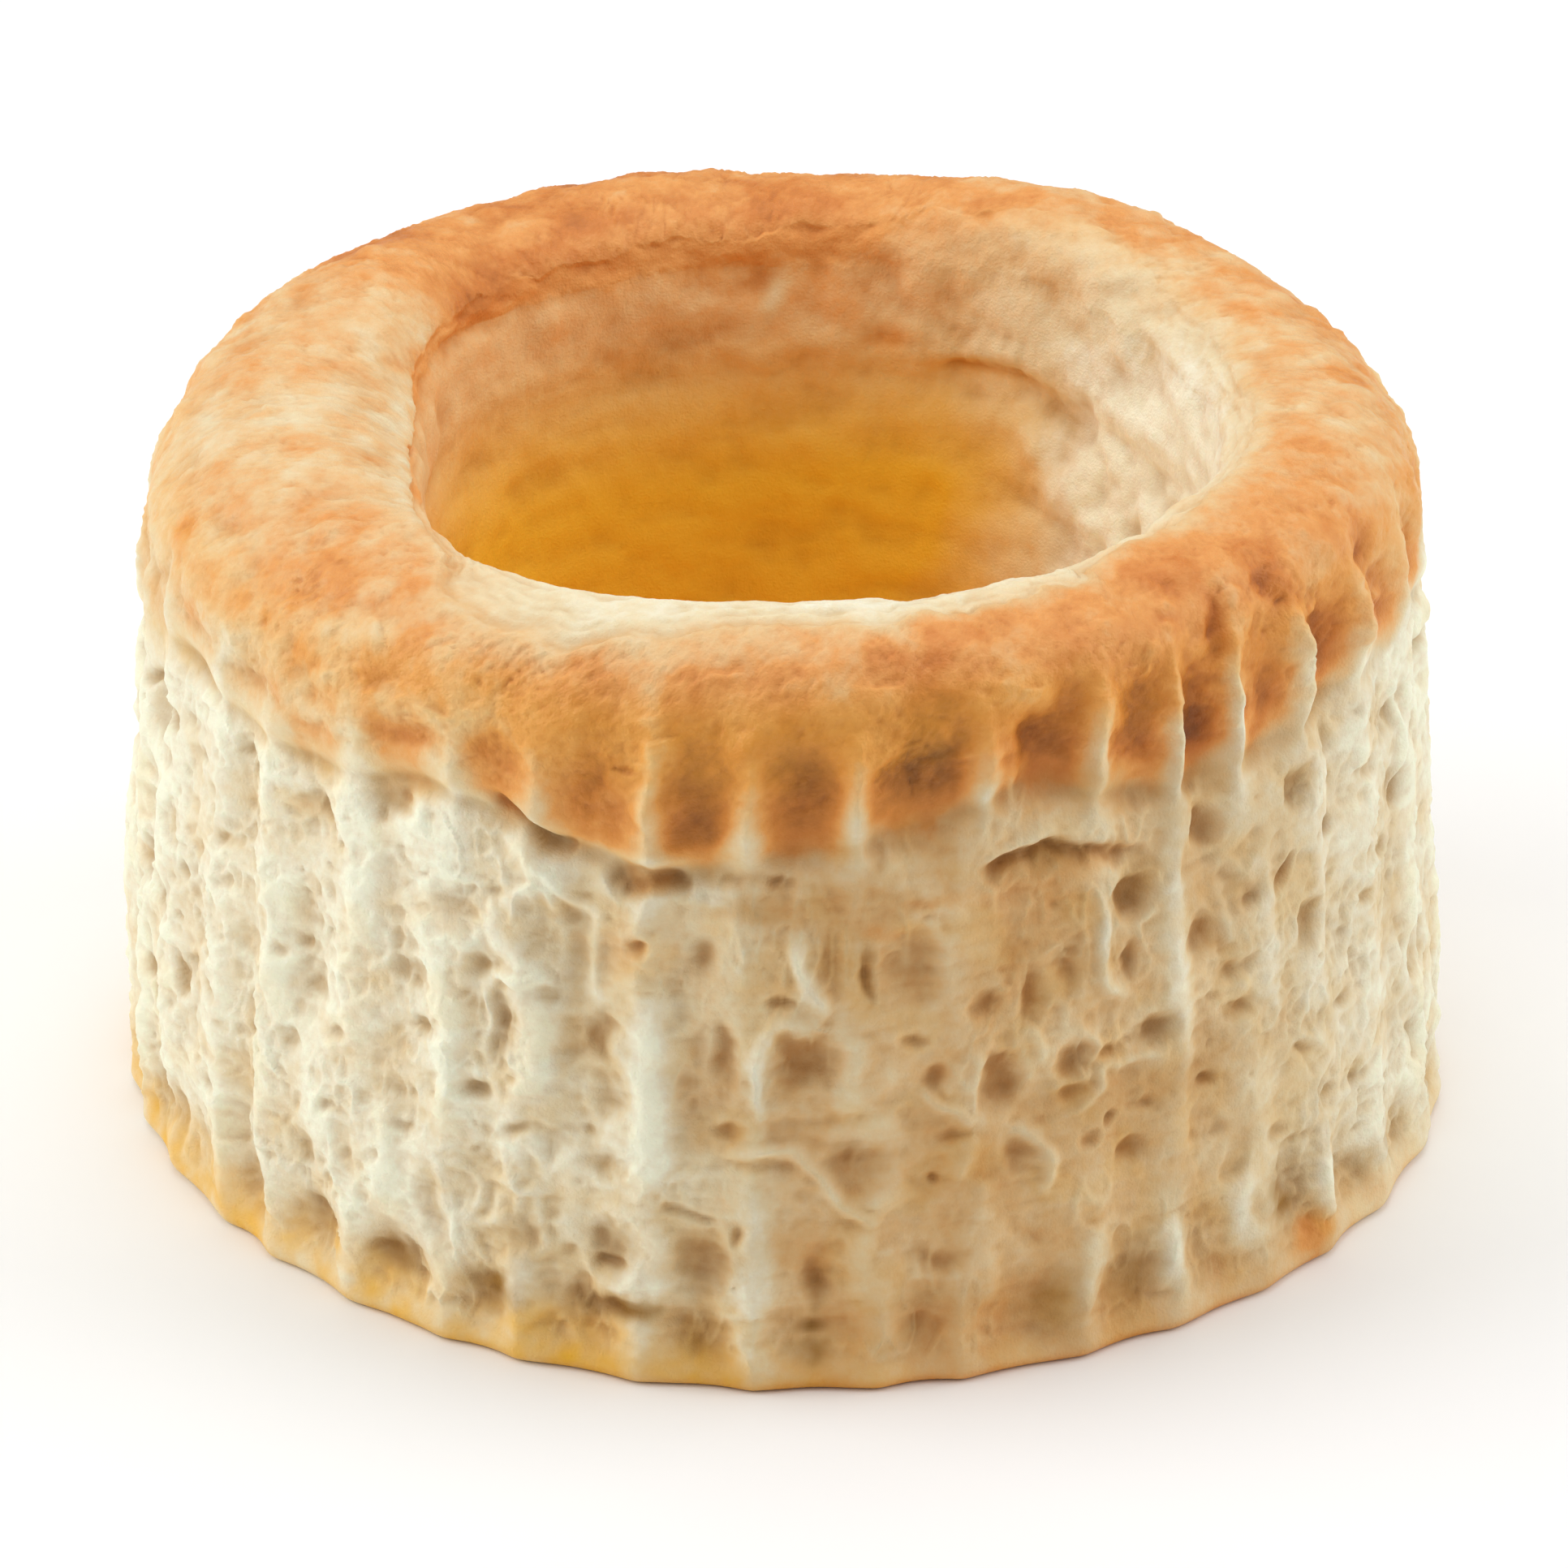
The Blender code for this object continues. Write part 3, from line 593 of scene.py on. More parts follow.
@dataclass(frozen=True)
class Bubbles:
    """Burst bubbles, ridges and dark foot spots where the photo doesn't show the wall, and pores everywhere.

    Spans are the least and the most of what is drawn at random.
    """

    seed: int = 23
    front_half_angle: float = 68.0
    pits: int = 190
    pit_widths: tuple[float, ...] = (0.7, 0.9, 1.1, 1.4, 1.8, 2.2)
    pit_heights: Span = (3.0, 34.0)
    pit_shares: tuple[Span, Span] = ((0.8, 1.1), (0.6, 1.7))  # of the drawn width, across and up
    pit_depths: Span = (0.5, 1.15)
    pit_leans: Span = (-25.0, 25.0)
    pit_corners: Span = (1.8, 3.2)
    seams: int = 90
    seam_heights: Span = (6.0, 31.0)
    seam_run: float = 3.0  # from one point of a ridge's way to the next
    seam_limits: Span = (2.0, 34.0)
    seam_bends: Span = (-3.0, 3.0)
    seam_rises: Span = (0.25, 0.6)
    seam_widths: Span = (0.3, 0.9)
    cracks: int = 12
    crack_heights: Span = (29.0, 33.5)
    crack_run: float = 2.6  # degrees
    crack_rises: Span = (-1.2, -0.6)
    crack_widths: Span = (0.3, 0.5)
    pores: int = 420
    pore_widths: Span = (0.25, 0.55)
    pore_heights: Span = (1.5, 34.5)
    pore_shares: Span = (0.7, 1.5)
    pore_depths: Span = (0.2, 0.5)
    pore_leans: Span = (-40.0, 40.0)
    spot_strengths: Span = (0.2, 0.75)
    spot_places: Span = (2.6, 4.6)
    spot_width: float = 1.3
    spot_heights: Span = (0.9, 2.2)

    def _span(self, draw: random.Random, i: int, count: int, spread: float) -> float:
        """The angle of one of count places that are spread over the sides and the back."""
        share = (i + draw.uniform(0.0, spread)) / count
        return self.front_half_angle + (360.0 - 2.0 * self.front_half_angle) * share

    def drawn_pits(self) -> list[Pit]:
        """Draws pits for the sides and the back.

        Returns:
            The pits.
        """
        draw = random.Random(self.seed)
        made = []
        for i in range(self.pits):
            angle = self._span(draw, i, self.pits, 2.5)
            wide = draw.choice(self.pit_widths)
            height = draw.uniform(*self.pit_heights)
            half_width, half_height = (wide * draw.uniform(*shares) for shares in self.pit_shares)
            made.append(Pit(angle, height, half_width, half_height, draw.uniform(*self.pit_depths),
                            draw.uniform(*self.pit_leans), draw.uniform(*self.pit_corners)))
        return made

    def drawn_pores(self) -> list[Pit]:
        """Draws small pores all round.

        Returns:
            The pores, as small pits.
        """
        draw = random.Random(self.seed + 1)
        made = []
        for _ in range(self.pores):
            wide = draw.uniform(*self.pore_widths)
            made.append(Pit(draw.uniform(0.0, 360.0), draw.uniform(*self.pore_heights), wide,
                            wide * draw.uniform(*self.pore_shares), draw.uniform(*self.pore_depths),
                            draw.uniform(*self.pore_leans)))
        return made

    def drawn_seams(self) -> list[Seam]:
        """Draws ridges and cracks for the sides and the back.

        Returns:
            The ridges, and then the cracks.
        """
        draw = random.Random(self.seed + 2)
        made = []
        for i in range(self.seams):
            angle = self._span(draw, i, self.seams, 1.0)
            height = draw.uniform(*self.seam_heights)
            bend = draw.uniform(*self.seam_bends)
            way = [(angle + draw.uniform(-1.2, 1.2) + bend * math.sin(step * 0.9),
                    float(np.clip(height + self.seam_run * (step - 1.5), *self.seam_limits)))
                   for step in range(4)]
            made.append(Seam(draw.uniform(*self.seam_rises), draw.uniform(*self.seam_widths), tuple(way)))
        for i in range(self.cracks):
            angle = self._span(draw, i, self.cracks, 1.0)
            height = draw.uniform(*self.crack_heights)
            way = [(angle + self.crack_run * step, height + draw.uniform(-0.8, 0.8)) for step in range(5)]
            made.append(Seam(draw.uniform(*self.crack_rises), draw.uniform(*self.crack_widths), tuple(way)))
        return made

    def drawn_foot_spots(self, flutes: Flutes) -> list[Patch]:
        """Draws dark spots in the valleys at the foot, partly browning and partly painted shade, for the
        sides and the back.

        Args:
            flutes: The flutes in whose valleys the spots lie.

        Returns:
            The spots.
        """
        draw = random.Random(self.seed + 3)
        made = []
        for angle in np.degrees(flutes.angles(np.arange(flutes.count) + 0.5)):
            strength = draw.uniform(*self.spot_strengths)
            if abs(short_way(angle, 360.0)) > self.front_half_angle + 3.0:
                made.append(Patch(angle, draw.uniform(*self.spot_places), self.spot_width,
                                  draw.uniform(*self.spot_heights), strength))
        return made


@dataclass(frozen=True)
class Outline:
    """The smooth outline of the case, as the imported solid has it."""

    wall_top_radius: float = 38.5
    wall_flare: float = 1.8
    wall_top: float = 35.8
    base_fillet: float = 0.9
    fillet_share: float = 0.06  # of the way up the wall
    crest_radius: float = 29.5
    crest_height: float = 45.6
    crust_fullness: float = 2.5
    mouth_radius: float = 25.4
    mouth_height: float = 42.2
    mouth_middle: tuple[float, float] = (1.0, -0.4)
    # Below the lip, as (how far inside the mouth's edge, how far below it)
    lip_step: tuple[float, float] = (0.35, 1.4)
    ledge_radius: float = 24.6
    ledge_height: float = 36.8
    ledge_fall: tuple[float, float] = (0.15, 0.5)
    ledge_undercut: float = 0.9
    ledge_drop: float = 1.6
    floor_radius: float = 21.2
    floor_height: float = 13.5
    floor_curve: float = 4.2
    floor_steps: int = 6
    floor_dip: float = 0.7
    floor_hub: float = 0.4
    # (degrees, how much of the ledge's undercut is open there)
    ledge_open: Table = (
        (-60, 0.3), (60, 0.3), (110, 0.15), (136, 0.5), (146, 1), (160, 1), (170, 0.3), (200, 0.2),
        (240, 0.35),
    )
    recess_drop: float = 1.3
    margin_waves: Waves = (
        (-9, -2.2, 11), (22, 2.1, 8), (-32, 1.4, 8), (62, 0.6, 7), (-66, 1.5, 9), (-85, -1.8, 9),
        (104, -1.4, 12), (137, 1.2, 10), (170, -1.1, 12), (206, 1.3, 11), (238, -1.2, 10),
    )
    crest_waves: Waves = ((149.0, 1.0, 17.0), (218.0, -1.25, 18.0), (260.0, -0.65, 12.0))
    foot_waves: Waves = ((-64.0, -1.1, 24.0), (-35.0, -0.4, 20.0), (46.0, 0.5, 30.0))
    foot_reach: float = 12.0
    mouth_waves: Waves = (
        (-88, -2.6, 28), (-37, 1.5, 19), (-13, 1.1, 13), (46, -0.6, 24), (150, 0.5, 30),
    )
    # (times round the case, rise of the radius, rise of the height, degrees that it starts at)
    lobes: tuple[tuple[int, float, float, float], ...] = (
        (2, 0.25, 0.35, 20), (3, 0.20, 0.25, 140), (5, 0.15, 0.20, 75),
    )

    @staticmethod
    def wave(angle: Array, waves: Waves) -> Array:
        """The sum of bell-shaped waves round the case."""
        return sum(rise * bump(away(angle, place), half) for place, rise, half in waves)

    def lobe(self, angle: Array, column: int) -> Array:
        """The slow unevenness of the radius for column 1, or of the height for column 2."""
        return sum(row[column] * np.sin(row[0] * angle + math.radians(row[3])) for row in self.lobes)

    def margin(self, angle: Array) -> Array:
        """The height of the crust's wavy margin."""
        return self.wall_top + self.wave(angle, self.margin_waves)

    def wall_radius(self, height: Array) -> Array:
        """The wall's radius at a height."""
        return self.wall_top_radius + self.wall_flare * (self.wall_top - height) / self.wall_top

    def placed(self, angle: Array, radius: Array, height: Array, middle: Array) -> Array:
        """Turns angles, radii and heights into points.

        Args:
            angle: Angles in radians.
            radius: Radii.
            height: Heights.
            middle: How far the circle's middle lies from the axis towards the mouth's, from 0 to 1.

        Returns:
            Points, with x, y and z last.
        """
        x = self.mouth_middle[0] * middle + radius * np.sin(angle)
        y = self.mouth_middle[1] * middle - radius * np.cos(angle)
        return np.stack(np.broadcast_arrays(x, y, height), -1)

    def wall(self, angle: Array, share: Array) -> Array:
        """The wall, from the flat base over the rounded bottom edge to below the margin.

        Args:
            angle: Angles in radians.
            share: How far up the wall, from 0 to 1.

        Returns:
            Points, with x, y and z last.
        """
        turn = np.clip(share / self.fillet_share, 0.0, 1.0) * math.pi / 2.0
        top = self.margin(angle) - self.recess_drop
        rise = np.clip((share - self.fillet_share) / (1.0 - self.fillet_share), 0.0, 1.0)
        fillet = self.base_fillet
        height = fillet * (1.0 - np.cos(turn)) + (top - fillet) * rise
        radius = self.wall_radius(height) - fillet * (1.0 - np.sin(turn)) + self.lobe(angle, 1)
        radius = radius + self.wave(angle, self.foot_waves) * (1.0 - ease(0.0, self.foot_reach, height))
        height = height + self.lobe(angle, 2) * ease(0.0, self.wall_top, height)
        return self.placed(angle, radius, height, 0.0)

    def rim(self, angle: Array, way: Array) -> Array:
        """The crust and the lip.

        Args:
            angle: Angles in radians.
            way: Places from -1 below the margin over 0 at it and 1 at the crest to 2 at the mouth.

        Returns:
            Points, with x, y and z last.
        """
        below = np.clip(way + 1.0, 0.0, 1.0)
        slope = np.clip(way, 0.0, 1.0) * math.pi / 2.0
        inner = np.clip(way - 1.0, 0.0, 1.0) * math.pi / 2.0
        power = 2.0 / self.crust_fullness
        margin = self.margin(angle)
        across = np.maximum(np.cos(slope), 0.0) ** power
        crest = self.crest_height + self.wave(angle, self.crest_waves)
        height = margin - self.recess_drop * (1.0 - below) + (crest - margin) * np.sin(slope) ** power
        foot_radius = self.wall_radius(np.minimum(height, margin))
        radius = self.crest_radius + (foot_radius - self.crest_radius) * across
        radius = radius - (self.crest_radius - self.mouth_radius) * np.sin(inner)
        height = height - (self.crest_height - self.mouth_height) * (1.0 - np.cos(inner))
        radius = radius + self.lobe(angle, 1) + self.wave(angle, self.mouth_waves) * np.sin(inner)
        height = height + self.lobe(angle, 2)
        return self.placed(angle, radius, height, np.sin(slope) ** 2)

    def hollow_way(self) -> Array:
        """Draws the hollow's outline.

        Returns:
            (radius, height) from the mouth down the hollow's wall and round to its floor.
        """
        curve_top = self.floor_height + self.floor_curve
        points = [
            (self.mouth_radius, self.mouth_height),
            (self.mouth_radius - self.lip_step[0], self.mouth_height - self.lip_step[1]),
            (self.ledge_radius, self.ledge_height + self.ledge_fall[1]),
            (self.ledge_radius + self.ledge_fall[0], self.ledge_height),
            (self.ledge_radius + self.ledge_undercut, self.ledge_height - self.ledge_drop),
            (self.floor_radius, curve_top),
        ]
        for step in range(1, self.floor_steps + 1):
            turn = step / self.floor_steps * math.pi / 2.0
            points.append((self.floor_radius - self.floor_curve * (1.0 - math.cos(turn)),
                           curve_top - self.floor_curve * math.sin(turn)))
        return np.array([*points, (self.floor_hub, self.floor_height - self.floor_dip)])

    def hollow(self, angle: Array, share: Array) -> Array:
        """The hollow, from the mouth down its wall and over its floor.

        Args:
            angle: Angles in radians.
            share: How far along that way, from 0 at the mouth to 1 near the floor's middle.

        Returns:
            Points, with x, y and z last.
        """
        way = self.hollow_way()
        length = lengths_along(way)
        place = share * length[-1]
        radius = np.interp(place, length, way[:, 0])
        height = np.interp(place, length, way[:, 1])
        below = self.ledge_height - self.ledge_drop
        filled = np.where(height > below, (self.ledge_height - height) / self.ledge_drop,
                          (height - self.floor_height) / (below - self.floor_height))
        filled = np.clip(filled, 0.0, 1.0) * (1.0 - around(angle, self.ledge_open))
        radius = radius - self.ledge_undercut * filled
        rise = ease(self.floor_height, self.mouth_height, height)
        spread = np.minimum(1.0, radius / self.mouth_radius)
        radius = radius + self.lobe(angle, 1) * spread + self.wave(angle, self.mouth_waves) * spread * rise
        height = height + (self.lobe(angle, 2) + self.wave(angle, self.crest_waves)) * rise
        return self.placed(angle, radius, height, 1.0)


class Part(Enum):
    """The stretches of the skin, from the base edge to the middle of the hollow's floor."""

    WALL = "wall"
    CRUST = "crust"
    TORN = "torn lip"
    HOLLOW = "hollow"


@dataclass(frozen=True)
class Relief:
    """How rough the surfaces are, in millimetres, with ripples as (height, seed, length of a wave)."""

    # The warp that keeps bubbles and ridges from looking drawn, round the wall and up it
    warp_across: tuple[Ripple, ...] = ((0.42, 6, 2.6), (0.10, 7, 0.9))
    warp_along: tuple[Ripple, ...] = ((0.42, 8, 2.4), (0.10, 9, 0.9))
    # How deep the open cells are, and how high the flaky layers, the crumb and the creases
    large_cells: float = 0.40
    small_cells: float = 0.20
    layers: float = 0.08
    crumb: float = 0.10
    creases: float = 0.16
    ridges: float = 0.85
    pores: float = 0.8
    pit_depth: float = 0.76  # of the depth a pit is listed with
    # (degrees, half width) of the front right of the wall, which is smoother, and how much smoother
    calm_place: tuple[float, float] = (14.0, 42.0)
    calm: float = 0.55
    # The groove under the crust's margin
    groove: float = 0.26
    groove_front: float = 0.45
    overhang: float = 0.25
    # The crust: lumps and rocks, fine grain and wrinkles
    lumps: tuple[Ripple, ...] = ((0.24, 50, 5.2), (0.13, 51, 2.5))
    rocks: Ripple = (0.46, 59, (3.0, 3.0, 4.2))
    dents: float = 0.22
    wrinkles: float = 0.075
    grain: float = 0.10
    dust: Ripple = (0.06, 58, 0.35)
    leaf: float = 0.10
    leaf_steps: tuple[Ripple, ...] = ((3.2, 54, 6.5), (0.9, 55, 2.2))
    blisters: int = 170
    blister_places: Span = (3.0, 15.0)
    blister_sizes: Span = (0.5, 1.6)
    blister_rises: Span = (0.10, 0.34)
    # The torn lip, from the front to the back, and the mouth's ragged edge
    lip_drop: float = 0.34
    lip_layers: tuple[Ripple, ...] = ((0.16, 62, 3.6), (0.07, 63, 1.7))
    lip_back: tuple[Ripple, ...] = ((0.30, 68, 3.2), (0.14, 69, 1.4))
    lip_crumb: float = 0.08
    terrace: float = 0.10
    terrace_width: float = 1.9
    mouth: tuple[Ripple, ...] = ((0.50, 65, 5.5), (0.36, 66, 2.3))
    mouth_crumb: float = 0.12
    # The hollow's wall and floor
    sheets: tuple[Ripple, ...] = ((0.16, 70, (7.0, 7.0, 1.9)), (0.08, 71, (3.2, 3.2, 0.7)))
    hollow_lumps: tuple[Ripple, ...] = ((0.26, 72, 5.0), (0.12, 73, 2.0))
    hollow_crumb: float = 0.08
    bubbles: tuple[Ripple, ...] = ((0.55, 75, 5.0), (0.34, 88, 2.1))
    burst: float = 0.45
    floor_crumb: float = 0.14
    torn_top: tuple[Ripple, ...] = ((0.30, 76, (2.4, 2.4, 1.5)), (0.10, 79, 0.8))
    torn_right: tuple[Ripple, ...] = ((0.5, 77, 2.8), (0.2, 78, 1.1))


@dataclass
class Skin:
    """The whole surface as a grid of points with the fields that its finish reads."""

    flutes: Flutes = Flutes()
    outline: Outline = Outline()
    bubbles: Bubbles = Bubbles()
    baking: Baking = Baking()
    relief: Relief = Relief()
    columns_per_flute: int = 36
    wall_rows: int = 168
    crust_rows: int = 72
    torn_rows: int = 34
    hollow_rows: int = 104
    fillet_rows: float = 0.05  # the share of the wall's rows that the rounded bottom edge takes
    rim_samples: int = 700
    # (degrees, how rough the crust's shoulder is)
    crags: Table = (
        (-80, 0.35), (-40, 0.45), (-10, 0.3), (20, 0.35), (38, 0.8), (55, 1), (75, 0.9), (110, 0.7),
        (180, 0.6), (240, 0.5),
    )
    # Where the crust tore off along the lip: (degrees, way along the rim)
    torn_edge: Table = (
        (-90, 1.82), (-65, 1.62), (-52, 1.25), (-38, 0.80), (-29, 0.68), (-20, 0.73), (-9, 0.83),
        (4, 0.88), (17, 0.91), (26, 0.95), (41, 1.10), (59, 1.22), (80, 1.36), (100, 1.45), (112, 1.42),
        (124, 1.30), (136, 1.08), (148, 1.05), (160, 1.22), (172, 1.45), (182, 1.55), (215, 1.68),
        (250, 1.80),
    )
    torn_limits: Span = (0.6, 1.85)
    torn_ripples: tuple[Ripple, ...] = ((0.12, 41, 7.0), (0.07, 42, 2.4), (0.03, 43, 0.9))

    def __post_init__(self) -> None:
        """Works the whole surface out."""
        count = self.flutes.count * self.columns_per_flute
        self.turns = np.arange(count) / self.columns_per_flute
        self.angle = self.flutes.angles(self.turns)
        self.behind = np.clip(-np.cos(self.angle), 0.0, 1.0)
        self.starts = {}
        self.base = self._stack()
        height = self.base[..., 2]
        out = self._facing(self.base)
        rise = self._relief()
        level = np.stack([np.ones_like(rise), np.ones_like(rise), ease(0.3, 4.0, height)], -1)
        way = out * level
        way = way / np.linalg.norm(way, axis=-1, keepdims=True)
        self.points = self.base + way * rise[..., None]
        self._settle()
        self.normals = self._facing(self.points)

    def rows(self, part: Part) -> slice:
        """The rows of a part, from its first row to the next part's first row."""
        start, end = self.starts[part]
        return slice(start, end + 1)

    def _stack(self) -> Array:
        """Works the smooth surface out, row by row.

        Returns:
            Its points, with x, y and z last.
        """
        outline = self.outline
        angle = self.angle[None, :]
        share = np.interp(np.linspace(0.0, 1.0, self.wall_rows + 1), (0.0, self.fillet_rows, 1.0),
                          (0.0, outline.fillet_share, 1.0))
        wall = outline.wall(angle, share[:, None])

        dense = np.linspace(-1.0, 2.0, self.rim_samples)
        length = lengths_along(outline.rim(np.zeros((1, 1)), dense[:, None])[:, 0])
        ring = outline.placed(self.angle, LIP_RADIUS, 0.0, 0.0)
        ragged = uneven(ring, *self.torn_ripples) * (1.0 + 1.2 * self.behind)
        torn_way = np.clip(around(self.angle, self.torn_edge) + 0.6 * ragged, *self.torn_limits)
        self.torn_length = np.interp(torn_way, dense, length)[None, :]
        crust_share, lip_share, hollow_share = (np.linspace(0.0, 1.0, rows + 1)[1:, None] for rows in (
            self.crust_rows, self.torn_rows, self.hollow_rows))
        self.rim_length = np.concatenate([self.torn_length * crust_share,
                                          mix(self.torn_length, length[-1], lip_share)])
        rim = outline.rim(angle, np.interp(self.rim_length, length, dense))
        hollow = outline.hollow(angle, hollow_share)

        ends = np.cumsum([self.wall_rows, self.crust_rows, self.torn_rows, self.hollow_rows])
        for part, start, end in zip(Part, [0, *ends[:-1]], ends):
            self.starts[part] = (int(start), int(end))
        self.hollow_place = np.concatenate([[[0.0]], hollow_share])
        return np.concatenate([wall, rim, hollow])

    @staticmethod
    def _facing(points: Array) -> Array:
        """Finds out which way the surface faces.

        Args:
            points: Its grid of points.

        Returns:
            Unit vectors that point out of it.
        """
        across = np.roll(points, -1, axis=1) - np.roll(points, 1, axis=1)
        along = np.gradient(points, axis=0)
        out = np.cross(across, along)
        return out / np.maximum(np.linalg.norm(out, axis=-1, keepdims=True), 1e-12)

    def _pits(self, across: Array, height: Array, pits: list[Pit]) -> tuple[Array, Array, Array]:
        """The relief of pits and of their raised rims, and how much of each place lies inside one.

        Args:
            across: Lengths round the wall, warped.
            height: Heights, warped.
            pits: The pits.

        Returns:
            The relief of the pits, that of the rims, and the depth of the deepest pit there.
        """
        relief, rims, inside = (np.zeros(across.shape) for _ in range(3))
        circle = 2.0 * math.pi * MEAN_RADIUS
        mean_across, mean_height = self.angle * MEAN_RADIUS, height.mean(axis=1)
        for pit in pits:
            reach = 1.6 * max(pit.half_width, pit.half_height) + 1.2
            middle = math.radians(pit.angle) * MEAN_RADIUS
            spot = np.ix_(np.abs(mean_height - pit.height) < reach + 1.5,
                          np.abs(short_way(mean_across - middle, circle)) < reach)
            a = short_way(across[spot] - middle, circle)
            b = height[spot] - pit.height
            lean = math.radians(pit.lean)
            a, b = a * math.cos(lean) - b * math.sin(lean), a * math.sin(lean) + b * math.cos(lean)
            far = np.abs(a / pit.half_width) ** pit.corners + np.abs(b / pit.half_height) ** pit.corners
            far = far ** (1.0 / pit.corners)
            broad = float(ease(1.0, 1.7, min(pit.half_width, pit.half_height)))
            deep = self.relief.pit_depth * pit.depth * (1.0 - ease(0.2 * broad, 1.16, far))
            inside[spot] = np.maximum(inside[spot], deep)
            relief[spot] = np.minimum(relief[spot], -deep)
            rims[spot] = np.maximum(rims[spot], (0.06 + 0.12 * broad) * bump(far - 1.22, 0.22))
        return relief, rims, inside

    def _seams(self, across: Array, height: Array, seams: list[Seam]) -> tuple[Array, Array]:
        """The relief of ridges and of cracks, apart.

        Args:
            across: Lengths round the wall, warped.
            height: Heights, warped.
            seams: The ridges and cracks.

        Returns:
            The relief of the ridges and that of the cracks.
        """
        ridges, cracks = np.zeros(across.shape), np.zeros(across.shape)
        circle = 2.0 * math.pi * MEAN_RADIUS
        mean_across, mean_height = self.angle * MEAN_RADIUS, height.mean(axis=1)
        for seam in seams:
            curve = seam.curve()
            middle = curve[:, 0].mean()
            reach = 3.0 * seam.half_width + 1.2
            off = short_way(mean_across - middle, circle)
            low, high = curve.min(axis=0) - reach, curve.max(axis=0) + reach
            spot = np.ix_((mean_height > low[1] - 1.5) & (mean_height < high[1] + 1.5),
                          (off > low[0] - middle) & (off < high[0] - middle))
            a = short_way(across[spot] - middle, circle) + middle
            b = height[spot]
            nearest, ends = np.full(a.shape, np.inf), np.zeros(a.shape)
            for step, (start, end) in enumerate(zip(curve, curve[1:])):
                run = end - start
                share = ((a - start[0]) * run[0] + (b - start[1]) * run[1]) / (run @ run)
                share = np.clip(share, 0.0, 1.0)
                distance = np.hypot(a - start[0] - share * run[0], b - start[1] - share * run[1])
                ends = np.where(distance < nearest, (step + share) / (len(curve) - 1), ends)
                nearest = np.minimum(nearest, distance)
            taper = np.clip(np.minimum(ends, 1.0 - ends) * 5.0, 0.0, 1.0) ** 0.6
            line = seam.rise * taper * bump(nearest, seam.half_width)
            if seam.rise > 0.0:
                ridges[spot] = np.maximum(ridges[spot], line)
            else:
                cracks[spot] = np.minimum(cracks[spot], line)
        return ridges, cracks

    def _patches(self, across: Array, height: Array, radius: float,
                 patches: list[Patch]) -> tuple[Array, Array]:
        """The strength and the rise that patches add.

        Args:
            across: Lengths round a circle of this radius.
            height: Heights.
            radius: The circle's radius.
            patches: The patches.

        Returns:
            Two fields, the strength and the rise.
        """
        strength, rise = np.zeros(across.shape), np.zeros(across.shape)
        circle = 2.0 * math.pi * radius
        for patch in patches:
            middle = math.radians(patch.angle) * radius
            off = short_way(self.angle * radius - middle, circle)
            columns = np.nonzero(np.abs(off) < 2.6 * patch.half_width + 1.0)[0]
            a = short_way(across[:, columns] - middle, circle)
            b = height[:, columns] - patch.height
            share = np.exp(-((a / patch.half_width) ** 2 + (b / patch.half_height) ** 2) ** 1.3)
            strength[:, columns] += patch.strength * share
            rise[:, columns] += patch.rise * share
        return strength, rise

    def _relief(self) -> Array:
        """Works the relief out, and with it the finish's fields, which are kept in values.

        Returns:
            How far each point stands out of the smooth surface.
        """
        shape = self.base.shape[:2]
        rise = np.zeros(shape)
        outside = slice(0, self.starts[Part.TORN][1] + 1)
        rim = slice(self.starts[Part.CRUST][0], outside.stop)
        hollow, lip = self.rows(Part.HOLLOW), self.rows(Part.TORN)
        # How far each point lies above the crust's margin, and past it the way over the rim
        wall_gap = self.base[self.rows(Part.WALL)][..., 2] - self.outline.lobe(self.angle, 2)
        wall_gap = wall_gap - self.outline.margin(self.angle)
        none = np.zeros((1, self.angle.size))
        self.over = np.concatenate([wall_gap[:-1],
                                    np.concatenate([none, self.rim_length]) - self.outline.recess_drop])
        self.extra, self.dark_spots = np.zeros(shape), np.zeros(shape)
        self.valley, self.inside, self.ridge = np.zeros(shape), np.zeros(shape), np.zeros(shape)
        rise[outside] = self._outer_relief(outside)
        rise[rim] += self._rim_relief(rim)
        share = np.linspace(0.0, 1.0, self.torn_rows + 1)[:, None]
        rise[lip] = mix(rise[lip], self._mouth_relief(lip), ease(0.4, 1.0, share))
        rise[hollow] = mix(self._mouth_relief(hollow), self._hollow_relief(hollow),
                           ease(0.0, 0.12, self.hollow_place))
        self._browning(rise)
        return rise

